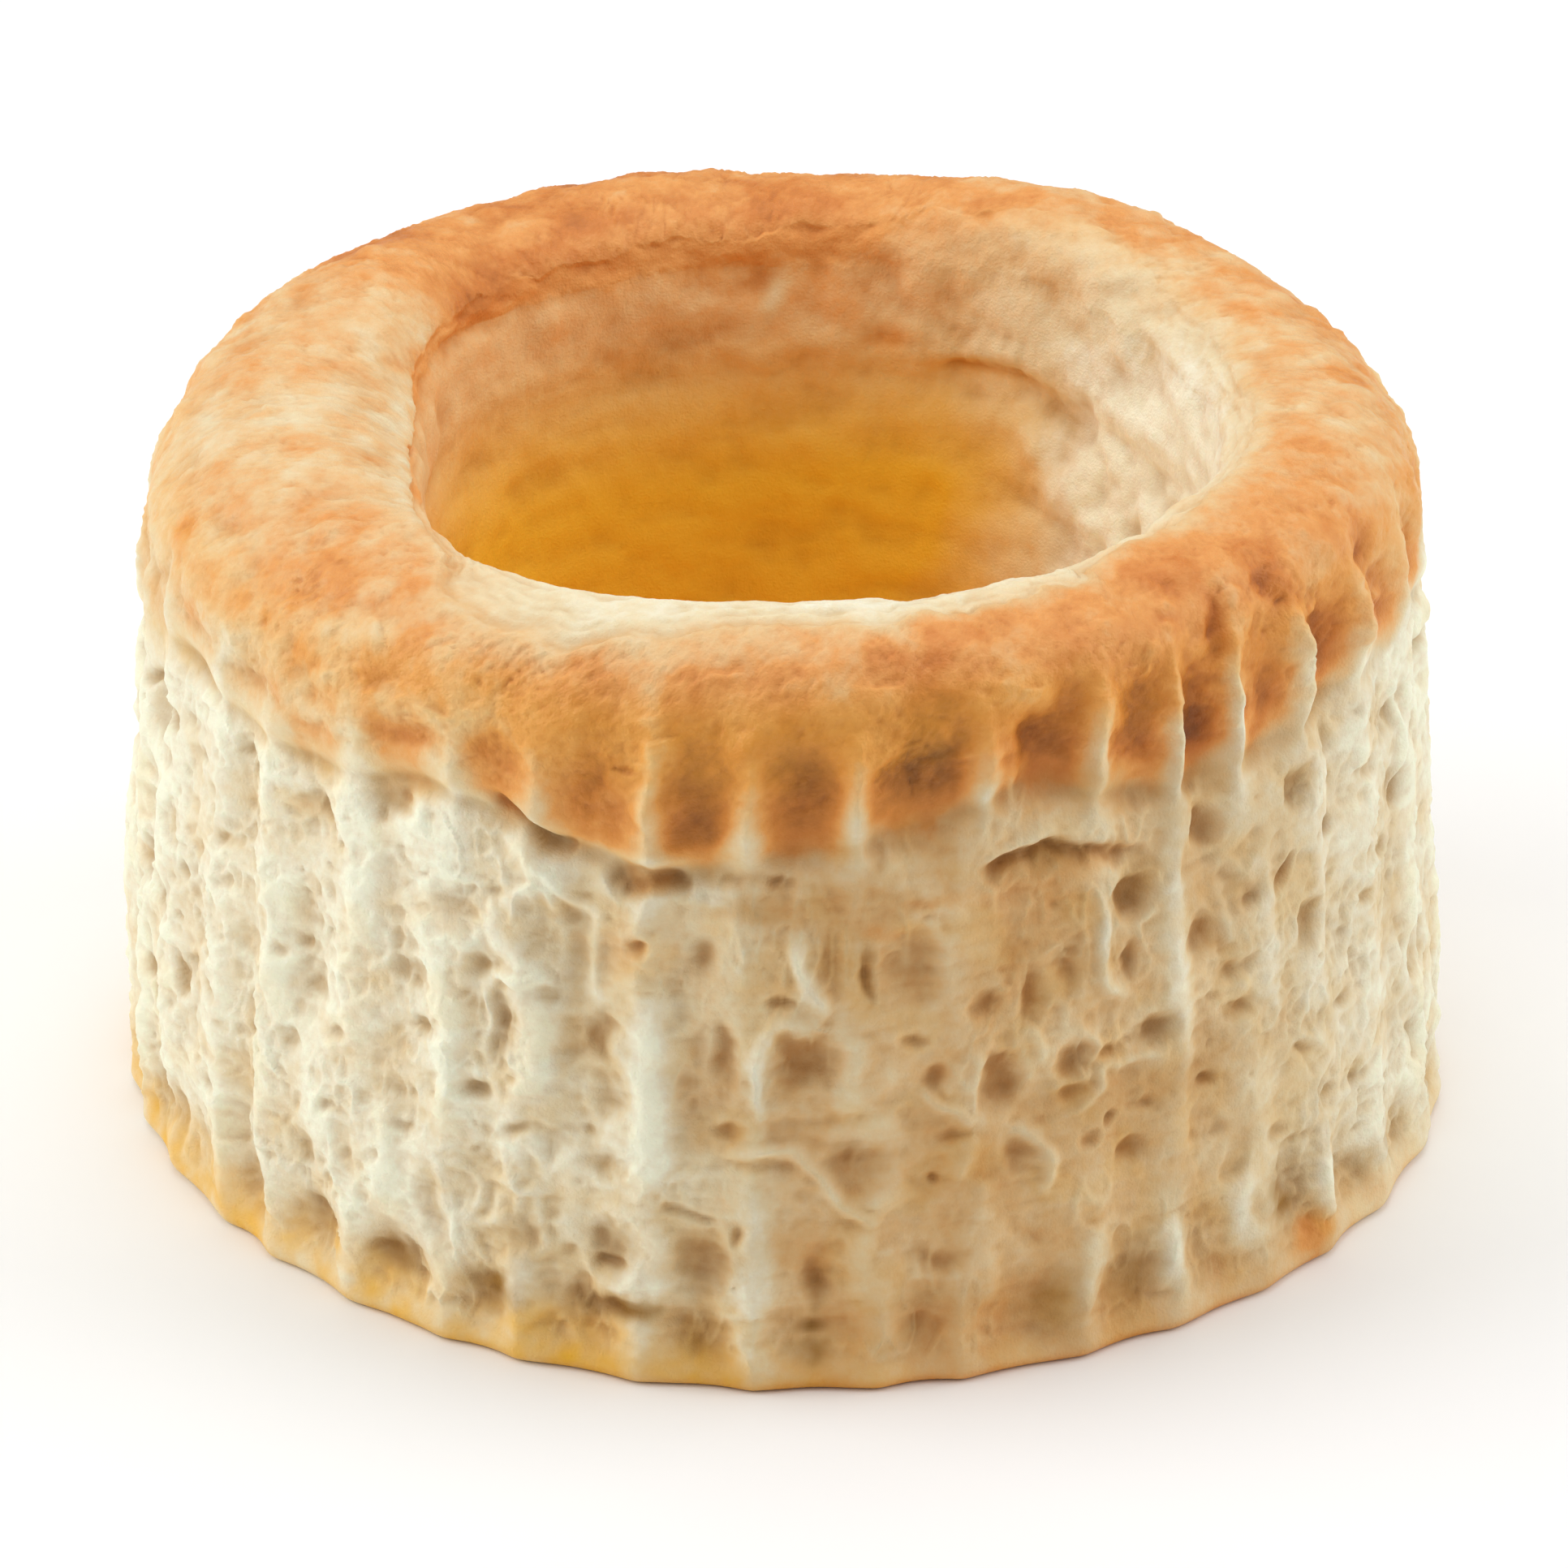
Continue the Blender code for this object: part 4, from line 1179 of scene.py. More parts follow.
    def _flute_relief(self, rows: slice, warp: Array) -> Array:
        """The flutes of the wall and the folds that they make in the crust.

        Args:
            rows: The rows outside the hollow.
            warp: How far the flutes wander.

        Returns:
            How deep the flutes are, with the valleys kept for the finish.
        """
        flutes = self.flutes
        points, gap = self.base[rows], self.over[rows]
        height = points[..., 2]
        lean = around(self.angle, flutes.leans) * ease(-9.0, -1.0, gap) * flutes.count / 360.0
        turns = self.turns[None, :] - lean + 0.06 * warp + uneven(points, (0.03, 4, 2.2))
        at_base = 1.0 - ease(0.0, flutes.base_reach, height)
        at_crust = ease(-flutes.crust_reach, 0.0, gap)
        reach = around(self.angle, flutes.fold_reaches)
        up_crust = 1.0 - ease(0.35 * reach, reach, gap + uneven(points, (1.2, 5, 5.0)))
        depth = around(self.angle, flutes.wall_depths) * (1.0 + uneven(points, (0.9, 16, 7.5)))
        low = flutes.valley(turns, 1, flutes.wall_power) * depth * (1.0 - at_crust)
        foot = flutes.valley(turns, 1, flutes.base_power) * mix(0.35, 1.0, ease(0.6, 4.5, height))
        low = low * ease(0.0, 5.0, height) + foot * flutes.depth_base * at_base
        fold = flutes.valley(turns, 2, flutes.crust_power) * at_crust * up_crust
        self.valley[rows] = np.clip(fold + foot * at_base, 0.0, 1.0)
        return low + fold * around(self.angle, flutes.fold_depths)

    def _outer_relief(self, rows: slice) -> Array:
        """The flutes, burst bubbles, ridges and layers of the wall, which fade out over the crust.

        Args:
            rows: The rows outside the hollow.

        Returns:
            The relief there.
        """
        rough = self.relief
        points, gap = self.base[rows], self.over[rows]
        height = points[..., 2]
        warp = Grain(3).waves(points, 6.0)
        below = 1.0 - ease(-3.0, -0.6, gap)  # the open, unglazed wall
        across = self.angle[None, :] * MEAN_RADIUS + uneven(points, *rough.warp_across)
        along = height + uneven(points, *rough.warp_along)
        hollows, rims, inside = self._pits(across, along, [*FRONT_PITS, *self.bubbles.drawn_pits()])
        pores, _, small = self._pits(across, along, self.bubbles.drawn_pores())
        ridges, cracks = self._seams(across, along, [*FRONT_SEAMS, *self.bubbles.drawn_seams()])
        ridges = np.maximum(rough.ridges * ridges, rims * ease(-0.3, 0.3, Grain(19).waves(points, 2.6)))
        self.extra[rows], rise = self._patches(across, along, MEAN_RADIUS, [*WALL_PATCHES, *CRUST_PATCHES])
        darkening = [*DARK_SPOTS_AND_SHADE, *self.bubbles.drawn_foot_spots(self.flutes)]
        # Dark spots, with painted shade in the pits and painted shadow under the crust's margin
        self.dark_spots[rows] = self._patches(across, along, MEAN_RADIUS, darkening)[0]

        edge, own = Grain(10).cells(across, along, 2.9, 96)
        large = rough.large_cells * ease(0.3, 0.85, own) * ease(0.02, 0.5, edge)
        edge, own = Grain(11).cells(across, along, 1.35, 190)
        fine = rough.small_cells * ease(0.2, 0.8, own) * ease(0.03, 0.5, edge)
        patch = ease(-0.3, 0.35, Grain(12).waves(points, 8.0))
        calm = 1.0 - rough.calm * bump(away(self.angle, rough.calm_place[0]), rough.calm_place[1])
        layers = Grain(13).waves(points + 0.5 * warp[..., None], (5.0, 5.0, 0.55))
        open_wall = -(large * mix(0.5, 1.0, patch) + fine * mix(1.0, 0.5, patch)) * calm
        open_wall = open_wall + rough.layers * layers + rough.crumb * Grain(14).layered(points, 1.2)
        creases = 1.0 - ease(0.0, 0.22, np.abs(Grain(17).waves(points, (1.3, 1.3, 3.2))))
        open_wall = open_wall + rough.creases * creases * ease(-0.1, 0.3, Grain(18).waves(points, 6.0))
        open_wall = open_wall * (1.0 - 0.7 * np.clip(ridges * 1.6, 0.0, 1.0))
        bubbles = np.minimum(hollows, pores * rough.pores * calm)
        open_wall = (open_wall + bubbles) * ease(0.8, 3.0, height) + ridges * rough.ridges
        cut = cracks * (1.0 - ease(-0.9, 0.4, gap))

        groove = rough.groove + rough.groove_front * bump(away(self.angle, -24.0), 9.0)
        groove = np.clip(groove + uneven(points, (0.5, 15, 6.0)), 0.0, 1.0)
        step = rough.overhang * bump(gap - 0.3, 1.0) - bump(gap + self.outline.recess_drop + 0.2, 0.75)
        self.inside[rows] = (np.maximum(inside, small * 0.4 * calm) + np.clip(-cracks, 0.0, 1.2)) * below
        self.ridge[rows] = ridges * below
        return open_wall * below + cut - self._flute_relief(rows, warp) + groove * step + rise

    def _rim_relief(self, rows: slice) -> Array:
        """The blistered crust, and inside its torn edge the softer lip.

        Args:
            rows: The rows of the rim.

        Returns:
            The relief there.
        """
        rough = self.relief
        points = self.base[rows]
        length = self.over[rows] + self.outline.recess_drop
        inward = length - self.torn_length
        fine = Grain(52).waves(points, 1.5)
        patchy = ease(-0.15, 0.4, Grain(57).waves(points, 5.0))
        lines = np.abs(fine + uneven(points, (0.4, 53, 0.7)))
        crust = -rough.wrinkles * (1.0 - ease(0.0, 0.25, lines)) * patchy
        crust = crust + rough.grain * Grain(56).layered(points, 0.9) + uneven(points, rough.dust)
        leaf = uneven(points, *rough.leaf_steps) % 1.0
        crust = crust + rough.leaf * (ease(0.0, 0.14, leaf) - leaf) * patchy
        rocks = uneven(points, rough.rocks) - rough.dents * ease(0.1, 0.5, Grain(49).waves(points, 1.9))
        rocks = around(self.angle, self.crags) * rocks * (1.0 - ease(6.0, 11.0, length))
        lumps = uneven(points, *rough.lumps) + rocks
        behind = np.clip(1.4 * -np.cos(self.angle), 0.0, 1.0)
        crust = crust + self._blisters(length, fine)
        crust = crust + 0.10 * bump(inward + 0.3, 0.5) * (1.0 - behind)

        ring = self.outline.placed(self.angle, LIP_RADIUS, 4.0 * inward, 0.0)
        terrace = ((inward + uneven(points, (0.8, 60, 4.0))) / rough.terrace_width) % 1.0
        terrace = rough.terrace * (ease(0.0, 0.3, terrace) * (1.0 - terrace) - 0.3)
        front = terrace * ease(-0.2, 0.3, Grain(61).waves(ring, 9.0)) + uneven(ring, *rough.lip_layers)
        torn = mix(front, uneven(points, *rough.lip_back), behind)
        torn = torn - rough.lip_drop * ease(0.0, 0.5, inward) * (1.0 - 0.85 * behind)
        torn = torn + rough.lip_crumb * Grain(64).layered(points, 1.0)
        mask = ease(-0.05, 0.3, inward)
        return ease(0.6, 3.2, length) * (lumps + crust * (1.0 - mask)) + torn * mask

    def _blisters(self, length: Array, fine: Array) -> Array:
        """Small round blisters on the crust.

        Args:
            length: The way over the rim to each point.
            fine: Unevenness that keeps them from being quite round.

        Returns:
            How high they stand.
        """
        rough = self.relief
        draw = random.Random(77)
        blisters = np.zeros(length.shape)
        middle, arc = length.mean(axis=1), self.angle * CRUST_RADIUS
        circle = 2.0 * math.pi * CRUST_RADIUS
        for _ in range(rough.blisters):
            place = draw.uniform(0.0, 2.0 * math.pi) * CRUST_RADIUS
            over = draw.uniform(*rough.blister_places)
            size, rise = draw.uniform(*rough.blister_sizes), draw.uniform(*rough.blister_rises)
            off = short_way(arc - place, circle)
            near = np.abs(off) < size * 1.3
            spot = np.ix_(np.abs(middle - over) < size * 2.0, near)
            far = (off[near][None, :] / size) ** 2 + ((length[spot] - over) / size) ** 2
            far = far * (1.0 + 0.5 * fine[spot])
            blisters[spot] = np.maximum(blisters[spot], rise * np.maximum(1.0 - far, 0.0) ** 1.1)
        return blisters

    def _mouth_relief(self, rows: slice) -> Array:
        """The ragged edge of the mouth, which is smoother at the front.

        Args:
            rows: The rows near the mouth.

        Returns:
            The relief there.
        """
        points = self.base[rows]
        ragged = 0.35 + 0.65 * ease(40.0, 110.0, np.abs(away(self.angle, 0.0)))
        ragged = ragged * uneven(points, *self.relief.mouth)
        return ragged + self.relief.mouth_crumb * Grain(67).layered(points, 1.0)

    def _hollow_relief(self, rows: slice) -> Array:
        """The hollow's wall, where layers tore and baked on, and its bubbled floor.

        Args:
            rows: The rows of the hollow.

        Returns:
            The relief there.
        """
        rough = self.relief
        points = self.base[rows]
        height = points[..., 2]
        floor = 1.0 - ease(self.outline.floor_height, self.outline.floor_height + 4.5, height)
        wall = uneven(points, *rough.torn_top) * ease(33.0, 37.5, height)
        wall = wall * (0.35 + 0.9 * bump(away(self.angle, 158.0), 26.0)) + uneven(points, *rough.sheets)
        burst = rough.burst * ease(0.12, 0.42, Grain(89).waves(points, 3.0))
        bubbles = uneven(points, *rough.bubbles) - burst + rough.floor_crumb * Grain(90).layered(points, 0.9)
        right = bump(away(self.angle, 130.0), 24.0) * bump(height - 31.0, 6.0)
        across = self.angle[None, :] * HOLLOW_RADIUS + uneven(points, (0.5, 6, 2.6))
        self.extra[rows], rise = self._patches(across, height, HOLLOW_RADIUS, list(HOLLOW_PATCHES))
        crumb = rough.hollow_crumb * Grain(74).layered(points, 1.0)
        lumps = uneven(points, *rough.hollow_lumps)
        return mix(wall, bubbles, floor) + lumps + crumb + right * uneven(points, *rough.torn_right) + rise

    def _wall_browning(self, blotch: Array, speck: Array, crevice_shade: Array, ridge_light: Array) -> Array:
        """How brown the open wall is.

        Args:
            blotch: Broad mottling.
            speck: Fine mottling.
            crevice_shade: Painted shade, by how deep in a dip of the relief or in a pit each point lies.
            ridge_light: Painted light, by how far each point stands out.

        Returns:
            The browning there.
        """
        baking, height = self.baking, self.base[..., 2]
        middle = bump(away(self.angle, 14.0), 40.0)
        wall = around(self.angle, baking.wall) + (0.07 + 0.07 * middle) * blotch + 0.03 * speck
        # Painted shade in the dips, and painted light on what stands out and on the ridges, stronger on the
        # front
        wall = wall + 0.04 * crevice_shade - (0.08 + 0.05 * middle) * ridge_light - 0.10 * np.clip(self.ridge, 0.0, 0.8)
        self.foot = 1.0 - ease(1.0, 7.0, height + 1.2 * blotch)
        wall = wall + around(self.angle, baking.foot) * self.foot * (0.7 + 0.5 * self.valley)
        return wall + around(self.angle, baking.hem) * (1.0 - ease(0.2, 1.1, height))

    def _crust_browning(self, blotch: Array, speck: Array, crevice_shade: Array, ridge_light: Array) -> Array:
        """How brown the crust is.

        Args:
            blotch: Broad mottling.
            speck: Fine mottling.
            crevice_shade: Painted shade, by how deep in a dip of the relief or in a pit each point lies.
            ridge_light: Painted light, by how far each point stands out.

        Returns:
            The browning there.
        """
        baking, points, over = self.baking, self.base, self.past_margin
        up = ease(4.0, 9.5, over)
        crust = mix(around(self.angle, baking.band), around(self.angle, baking.top), up)
        dabs = ease(0.05, 0.5, Grain(82).waves(points, 2.6))
        spots = ease(0.1, 0.5, Grain(83).waves(points, 3.4)) - 0.3
        # Painted shade in the dips and painted light on what stands out
        crust = crust + 0.15 * blotch + 0.08 * speck + 0.08 * crevice_shade - 0.08 * ridge_light
        crust = crust + (0.09 - 0.03 * self.left) * spots - (0.03 + 0.03 * self.left) * dabs
        low = over + uneven(points, (0.9, 84, 3.0))
        slot = ease(-0.8, 0.4, low) * (1.0 - ease(2.0, 8.5, low))
        slot = slot * np.clip(self.valley, 0.0, 1.0) ** 1.3
        crust = crust + baking.valley_darkening * around(self.angle, baking.darkening) * slot
        ribs = mix(*baking.rib_lightening, bump(away(self.angle, 45.0), 24.0))
        return crust - ribs * (1.0 - self.valley) * bump(over - 1.6, 4.0) * (1.0 - up)

    def _inner_browning(self, blotch: Array, speck: Array, crevice_shade: Array) -> tuple[Array, Array]:
        """How brown the lip and the hollow are.

        Args:
            blotch: Broad mottling.
            speck: Fine mottling.
            crevice_shade: Painted shade, by how deep in a dip of the relief or in a pit each point lies.

        Returns:
            The browning of the lip and that of the hollow.
        """
        baking, height = self.baking, self.base[..., 2]
        # Browner in the dips of the relief on the lip, the hollow's wall and its floor: painted shade
        lip = around(self.angle, baking.lip) + 0.08 * blotch + 0.12 * crevice_shade
        rim = slice(self.starts[Part.CRUST][0], self.starts[Part.TORN][1] + 1)
        lip[rim] += 0.10 * (1.0 - ease(0.0, 3.0, self.inward))
        inner = around(self.angle, baking.inside) + 0.05 * blotch + 0.05 * crevice_shade
        inner = inner + 0.05 * ease(36.0, 24.0, height)
        floor = baking.floor + 0.24 * blotch + 0.10 * speck + 0.16 * crevice_shade
        return lip, mix(inner, floor, self.bottom)

    def _amber(self, blotch: Array, speck: Array, into: Array) -> Array:
        """How golden the hollow, the crust's shoulder and the foot of the wall are, the hollow partly with a
        painted glow of light shining through.

        Args:
            blotch: Broad mottling.
            speck: Fine mottling.
            into: 1 inside the hollow and 0 outside.

        Returns:
            The share of the golden colour.
        """
        baking, points, over = self.baking, self.base, self.past_margin
        height = points[..., 2]
        start = baking.golden_top - 4.0 * bump(away(self.angle, -80.0), 34.0)
        pale = around(self.angle, baking.inside) + 0.05 * blotch
        amber = ease(start, start - baking.golden_run, height) * ease(0.06, 0.34, pale) * into
        # Painted glow of light shining through the wall at the back right
        amber = amber + baking.glow * bump(away(self.angle, 147.0), 24.0) * bump(height - 31.0, 7.0) * into
        amber = mix(amber, into * (0.26 + 0.2 * blotch), self.bottom)
        side = away(self.angle, 0.0)
        straw = self.foot * ease(25.0, -25.0, side) * ease(-130.0, -80.0, side)
        straw = straw * (0.75 + 0.8 * blotch + 0.4 * speck)
        tint = 0.03 + 0.12 * ease(0.0, 0.45, Grain(87).waves(points, 3.2))
        edge = baking.fringe_gold * self.left * bump(self.fringe + 1.4, 1.3)
        open_wall = (baking.straw * straw + edge + tint) * (1.0 - self.glazed)
        shoulder = (1.0 - ease(6.5, 10.5, over)) * mix(0.45, 1.0, ease(1.5, 5.0, over))
        golden = mix(*baking.shoulder_gold, bump(away(self.angle, -4.0), 32.0)) * shoulder * self.glazed
        return amber + (open_wall + golden) * (1.0 - self.torn)

    def _browning(self, rise: Array) -> None:
        """Fills the fields that the finish reads: browning, amber, toast_and_shade, cavity and glaze; cavity
        is painted shade and toast_and_shade partly so.

        Args:
            rise: The relief.
        """
        points = self.base
        height = points[..., 2]
        spread = max(1, self.columns_per_flute // 6)
        smooth = soften(rise, 8, spread + 2)
        tight = soften(rise, 2, max(1, spread // 3))
        # Painted light on what stands out of the relief, and painted shade in its dips and in the pits
        ridge_light = np.clip((rise - smooth) / 0.45, 0.0, 1.0)
        crevice_shade = 0.7 * np.clip((smooth - rise) / 0.6, 0.0, 1.0)
        crevice_shade = crevice_shade + 0.3 * np.clip((tight - rise) / 0.2, 0.0, 1.0)
        crevice_shade = np.clip(crevice_shade + 0.22 * np.clip(self.inside, 0.0, 1.0), 0.0, 1.0)
        blotch = Grain(80).layered(points, 6.0)
        speck = Grain(81).layered(points, 1.4, 2)

        start_torn, end_torn = self.starts[Part.TORN]
        self.past_margin = np.full(height.shape, 20.0)
        self.past_margin[:len(self.over)] = self.over
        side = away(self.angle, 0.0)
        self.left = ease(-10.0, -45.0, side) * ease(-150.0, -110.0, side)
        ragged = uneven(points, (0.9, 85, 3.6), (0.5, 86, 1.2))
        self.fringe = self.past_margin + ragged + 2.2 * (np.clip(self.valley, 0.0, 0.8) - 0.5)
        self.glazed = ease(-2.2 - 0.6 * self.left, 1.4 + 0.4 * self.left, self.fringe)
        self.bottom = ease(21.0, 15.0, height)
        rim = slice(self.starts[Part.CRUST][0], end_torn + 1)
        self.inward = self.over[rim] + self.outline.recess_drop - self.torn_length
        rows = np.arange(height.shape[0])[:, None] * np.ones_like(height)
        self.torn = ease(start_torn - 4.0, start_torn + 5.0, rows + 3.0 * speck)
        into = ease(end_torn - 6.0, end_torn + 14.0, rows)

        outer = mix(self._wall_browning(blotch, speck, crevice_shade, ridge_light),
                    self._crust_browning(blotch, speck, crevice_shade, ridge_light), self.glazed)
        outer[rim] -= 0.10 * bump(self.inward + 0.4, 1.3) * (1.0 - self.behind)
        lip, inner = self._inner_browning(blotch, speck, crevice_shade)
        browning = mix(outer, mix(lip, inner, into), self.torn) + self.extra
        # Painted shade on the front wall and in the pits, and painted light on the ridges
        painted_wall_shade = around(self.angle, self.baking.painted_wall_shade) * (0.8 + 0.9 * blotch)
        painted_wall_shade = painted_wall_shade * mix(0.8, 1.0, ease(2.0, 10.0, height))
        painted_wall_shade = painted_wall_shade + 0.15 * np.clip(self.inside, 0.0, 0.9) - 0.14 * np.clip(self.ridge, 0.0, 0.8)
        # Dark spots and painted shade together
        toast_and_shade = np.clip(self.dark_spots, 0.0, 1.0) * (1.0 + 0.6 * speck) * mix(0.86, 1.0, ease(5.0, 9.0, height))
        toast_and_shade = np.clip(toast_and_shade + np.maximum(painted_wall_shade, 0.0), 0.0, 1.0)
        outside = 1.0 - self.torn
        self.values = {
            "browning": np.clip(browning, 0.0, 1.0),
            "amber": np.clip(self._amber(blotch, speck, into), 0.0, 1.0),
            "cavity": crevice_shade,
            "toast_and_shade": toast_and_shade * (1.0 - self.glazed * outside) * outside,
            "glaze": np.clip(self.glazed * outside * (0.75 + 0.5 * blotch), 0.0, 1.0),
        }

    def _settle(self) -> None:
        """Stands the case on the floor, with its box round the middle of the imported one."""
        low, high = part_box(NODE)
        for axis in (0, 1):
            reach = self.points[..., axis]
            middle = (low[axis] + high[axis]) / 2.0 / MM
            self.points[..., axis] += middle - (reach.min() + reach.max()) / 2.0
        self.points[0, :, 2] = 0.0
        self.points[..., 2] = np.maximum(self.points[..., 2], 0.0)


@dataclass(frozen=True)
class PastryFinish:
    """Baked puff pastry, from pale dough to dark crust, with the palette set by how brown a place is."""

    name: str = "baked_pastry"
    # (browning, linear colour)
    shades: tuple[tuple[float, Colour], ...] = (
        (0.00, (0.97, 0.965, 0.755)),
        (0.06, (0.91, 0.845, 0.645)),
        (0.16, (0.86, 0.72, 0.46)),
        (0.34, (0.85, 0.55, 0.26)),
        (0.52, (0.84, 0.365, 0.100)),
        (0.68, (0.70, 0.235, 0.044)),
        (0.84, (0.48, 0.145, 0.022)),
        (1.00, (0.26, 0.072, 0.014)),
    )
    # Golden colour of the foot and the shoulder, and in the hollow partly a painted glow of light shining
    # through the pastry
    amber: Colour = (0.92, 0.49, 0.022)
    # Dark olive brown of the foot spots, also laid on as painted shade on the front wall, in pits and under
    # the crust's margin
    toast_and_shade: Colour = (0.36, 0.18, 0.030)
    # Painted shade, multiplied into the dips of the relief and the pits
    crevice_shade_colour: Colour = (0.70, 0.58, 0.46)
    roughness: float = 0.72
    glazed_roughness: float = 0.42
    specular: float = 0.35
    subsurface: float = 0.12
    subsurface_radius: Colour = (1.0, 0.55, 0.3)
    subsurface_depth: float = 1.2
    # (size of the waves, how much browner or paler they make it)
    blotch: tuple[float, float] = (1.6, 0.16)
    speck: tuple[float, float] = (0.45, 0.12)
    grain_size: float = 0.16
    pore_depth: float = 0.11
    pore_strength: float = 0.6
    noise_detail: float = 3.0
    # How much of the speck the roughness and the pores take up
    gloss_swing: float = 0.2
    pore_swing: float = 0.8

    def _noise(self, tree: bpy.types.NodeTree, place: bpy.types.Node, size: float) -> bpy.types.NodeSocket:
        """Adds a noise.

        Args:
            tree: The material's nodes.
            place: The node that gives the place on the case.
            size: How many millimetres long its waves are.

        Returns:
            The socket with its values from 0 to 1.
        """
        noise = tree.nodes.new("ShaderNodeTexNoise")
        noise.inputs["Scale"].default_value = 1.0 / (size * MM)
        noise.inputs["Detail"].default_value = self.noise_detail
        tree.links.new(place.outputs["Object"], noise.inputs["Vector"])
        return noise.outputs["Fac"]

    @staticmethod
    def _sum(tree: bpy.types.NodeTree, base: bpy.types.NodeSocket, swing: bpy.types.NodeSocket,
             amount: float) -> bpy.types.NodeSocket:
        """Adds a noise to a value.

        Args:
            tree: The material's nodes.
            base: The value.
            swing: The noise, whose mean is one half.
            amount: How much of it is added.

        Returns:
            The sum's socket.
        """
        node, offset = tree.nodes.new("ShaderNodeMath"), tree.nodes.new("ShaderNodeMath")
        node.operation, offset.operation = "MULTIPLY_ADD", "ADD"
        node.inputs[1].default_value = amount
        offset.inputs[1].default_value = -amount / 2.0
        tree.links.new(swing, node.inputs[0])
        tree.links.new(base, offset.inputs[0])
        tree.links.new(offset.outputs[0], node.inputs[2])
        return node.outputs[0]

    @staticmethod
    def _value(tree: bpy.types.NodeTree, name: str) -> bpy.types.NodeSocket:
        """Reads one of the skin's fields.

        Args:
            tree: The material's nodes.
            name: The field's name.

        Returns:
            The socket with its values.
        """
        node = tree.nodes.new("ShaderNodeAttribute")
        node.attribute_name = name
        return node.outputs["Fac"]

    def _tinted(self, tree: bpy.types.NodeTree, colour: bpy.types.NodeSocket, field_name: str, tint: Colour,
                blend: str = "MIX") -> bpy.types.NodeSocket:
        """Draws a colour to another one where a field says so.

        Args:
            tree: The material's nodes.
            colour: The colour.
            field_name: The field with the share.
            tint: The other colour.
            blend: How the two are blended.

        Returns:
            The new colour's socket.
        """
        node = tree.nodes.new("ShaderNodeMix")
        node.data_type, node.blend_type = "RGBA", blend
        share, first, second = node.inputs[0], node.inputs[6], node.inputs[7]
        second.default_value = (*tint, 1.0)
        tree.links.new(self._value(tree, field_name), share)
        tree.links.new(colour, first)
        return node.outputs[2]

    def material(self) -> bpy.types.Material:
        """Builds the node material.

        Returns:
            The material.
        """
        material = bpy.data.materials.new(self.name)
        material.use_nodes = True
        tree = material.node_tree
        shader = tree.nodes["Principled BSDF"]
        place = tree.nodes.new("ShaderNodeTexCoord")
        blotch = self._noise(tree, place, self.blotch[0])
        speck = self._noise(tree, place, self.speck[0])
        grain = self._noise(tree, place, self.grain_size)

        browning = self._sum(tree, self._value(tree, "browning"), blotch, self.blotch[1])
        browning = self._sum(tree, browning, speck, self.speck[1])
        ramp = tree.nodes.new("ShaderNodeValToRGB")
        stops = ramp.color_ramp.elements
        while len(stops) < len(self.shades):
            stops.new(0.5)
        for stop, (position, colour) in zip(stops, self.shades):
            stop.position, stop.color = position, (*colour, 1.0)
        tree.links.new(browning, ramp.inputs["Fac"])
        colour = self._tinted(tree, ramp.outputs["Color"], "amber", self.amber)
        # The dark olive brown: spots, and painted shade
        colour = self._tinted(tree, colour, "toast_and_shade", self.toast_and_shade)
        # Painted shade in the dips of the relief and in the pits
        colour = self._tinted(tree, colour, "cavity", self.crevice_shade_colour, "MULTIPLY")
        tree.links.new(colour, shader.inputs["Base Color"])

        gloss = tree.nodes.new("ShaderNodeMapRange")
        gloss.inputs["To Min"].default_value = self.roughness
        gloss.inputs["To Max"].default_value = self.glazed_roughness
        tree.links.new(self._value(tree, "glaze"), gloss.inputs["Value"])
        glossy = self._sum(tree, gloss.outputs["Result"], speck, self.gloss_swing)
        tree.links.new(glossy, shader.inputs["Roughness"])

        relief = tree.nodes.new("ShaderNodeBump")
        relief.inputs["Strength"].default_value = self.pore_strength
        relief.inputs["Distance"].default_value = self.pore_depth * MM
        tree.links.new(self._sum(tree, grain, speck, self.pore_swing), relief.inputs["Height"])
        tree.links.new(relief.outputs["Normal"], shader.inputs["Normal"])
        shader.inputs["Subsurface Weight"].default_value = self.subsurface
        shader.inputs["Subsurface Radius"].default_value = self.subsurface_radius
        shader.inputs["Subsurface Scale"].default_value = self.subsurface_depth * MM
        shader.inputs["Specular IOR Level"].default_value = self.specular
        return material


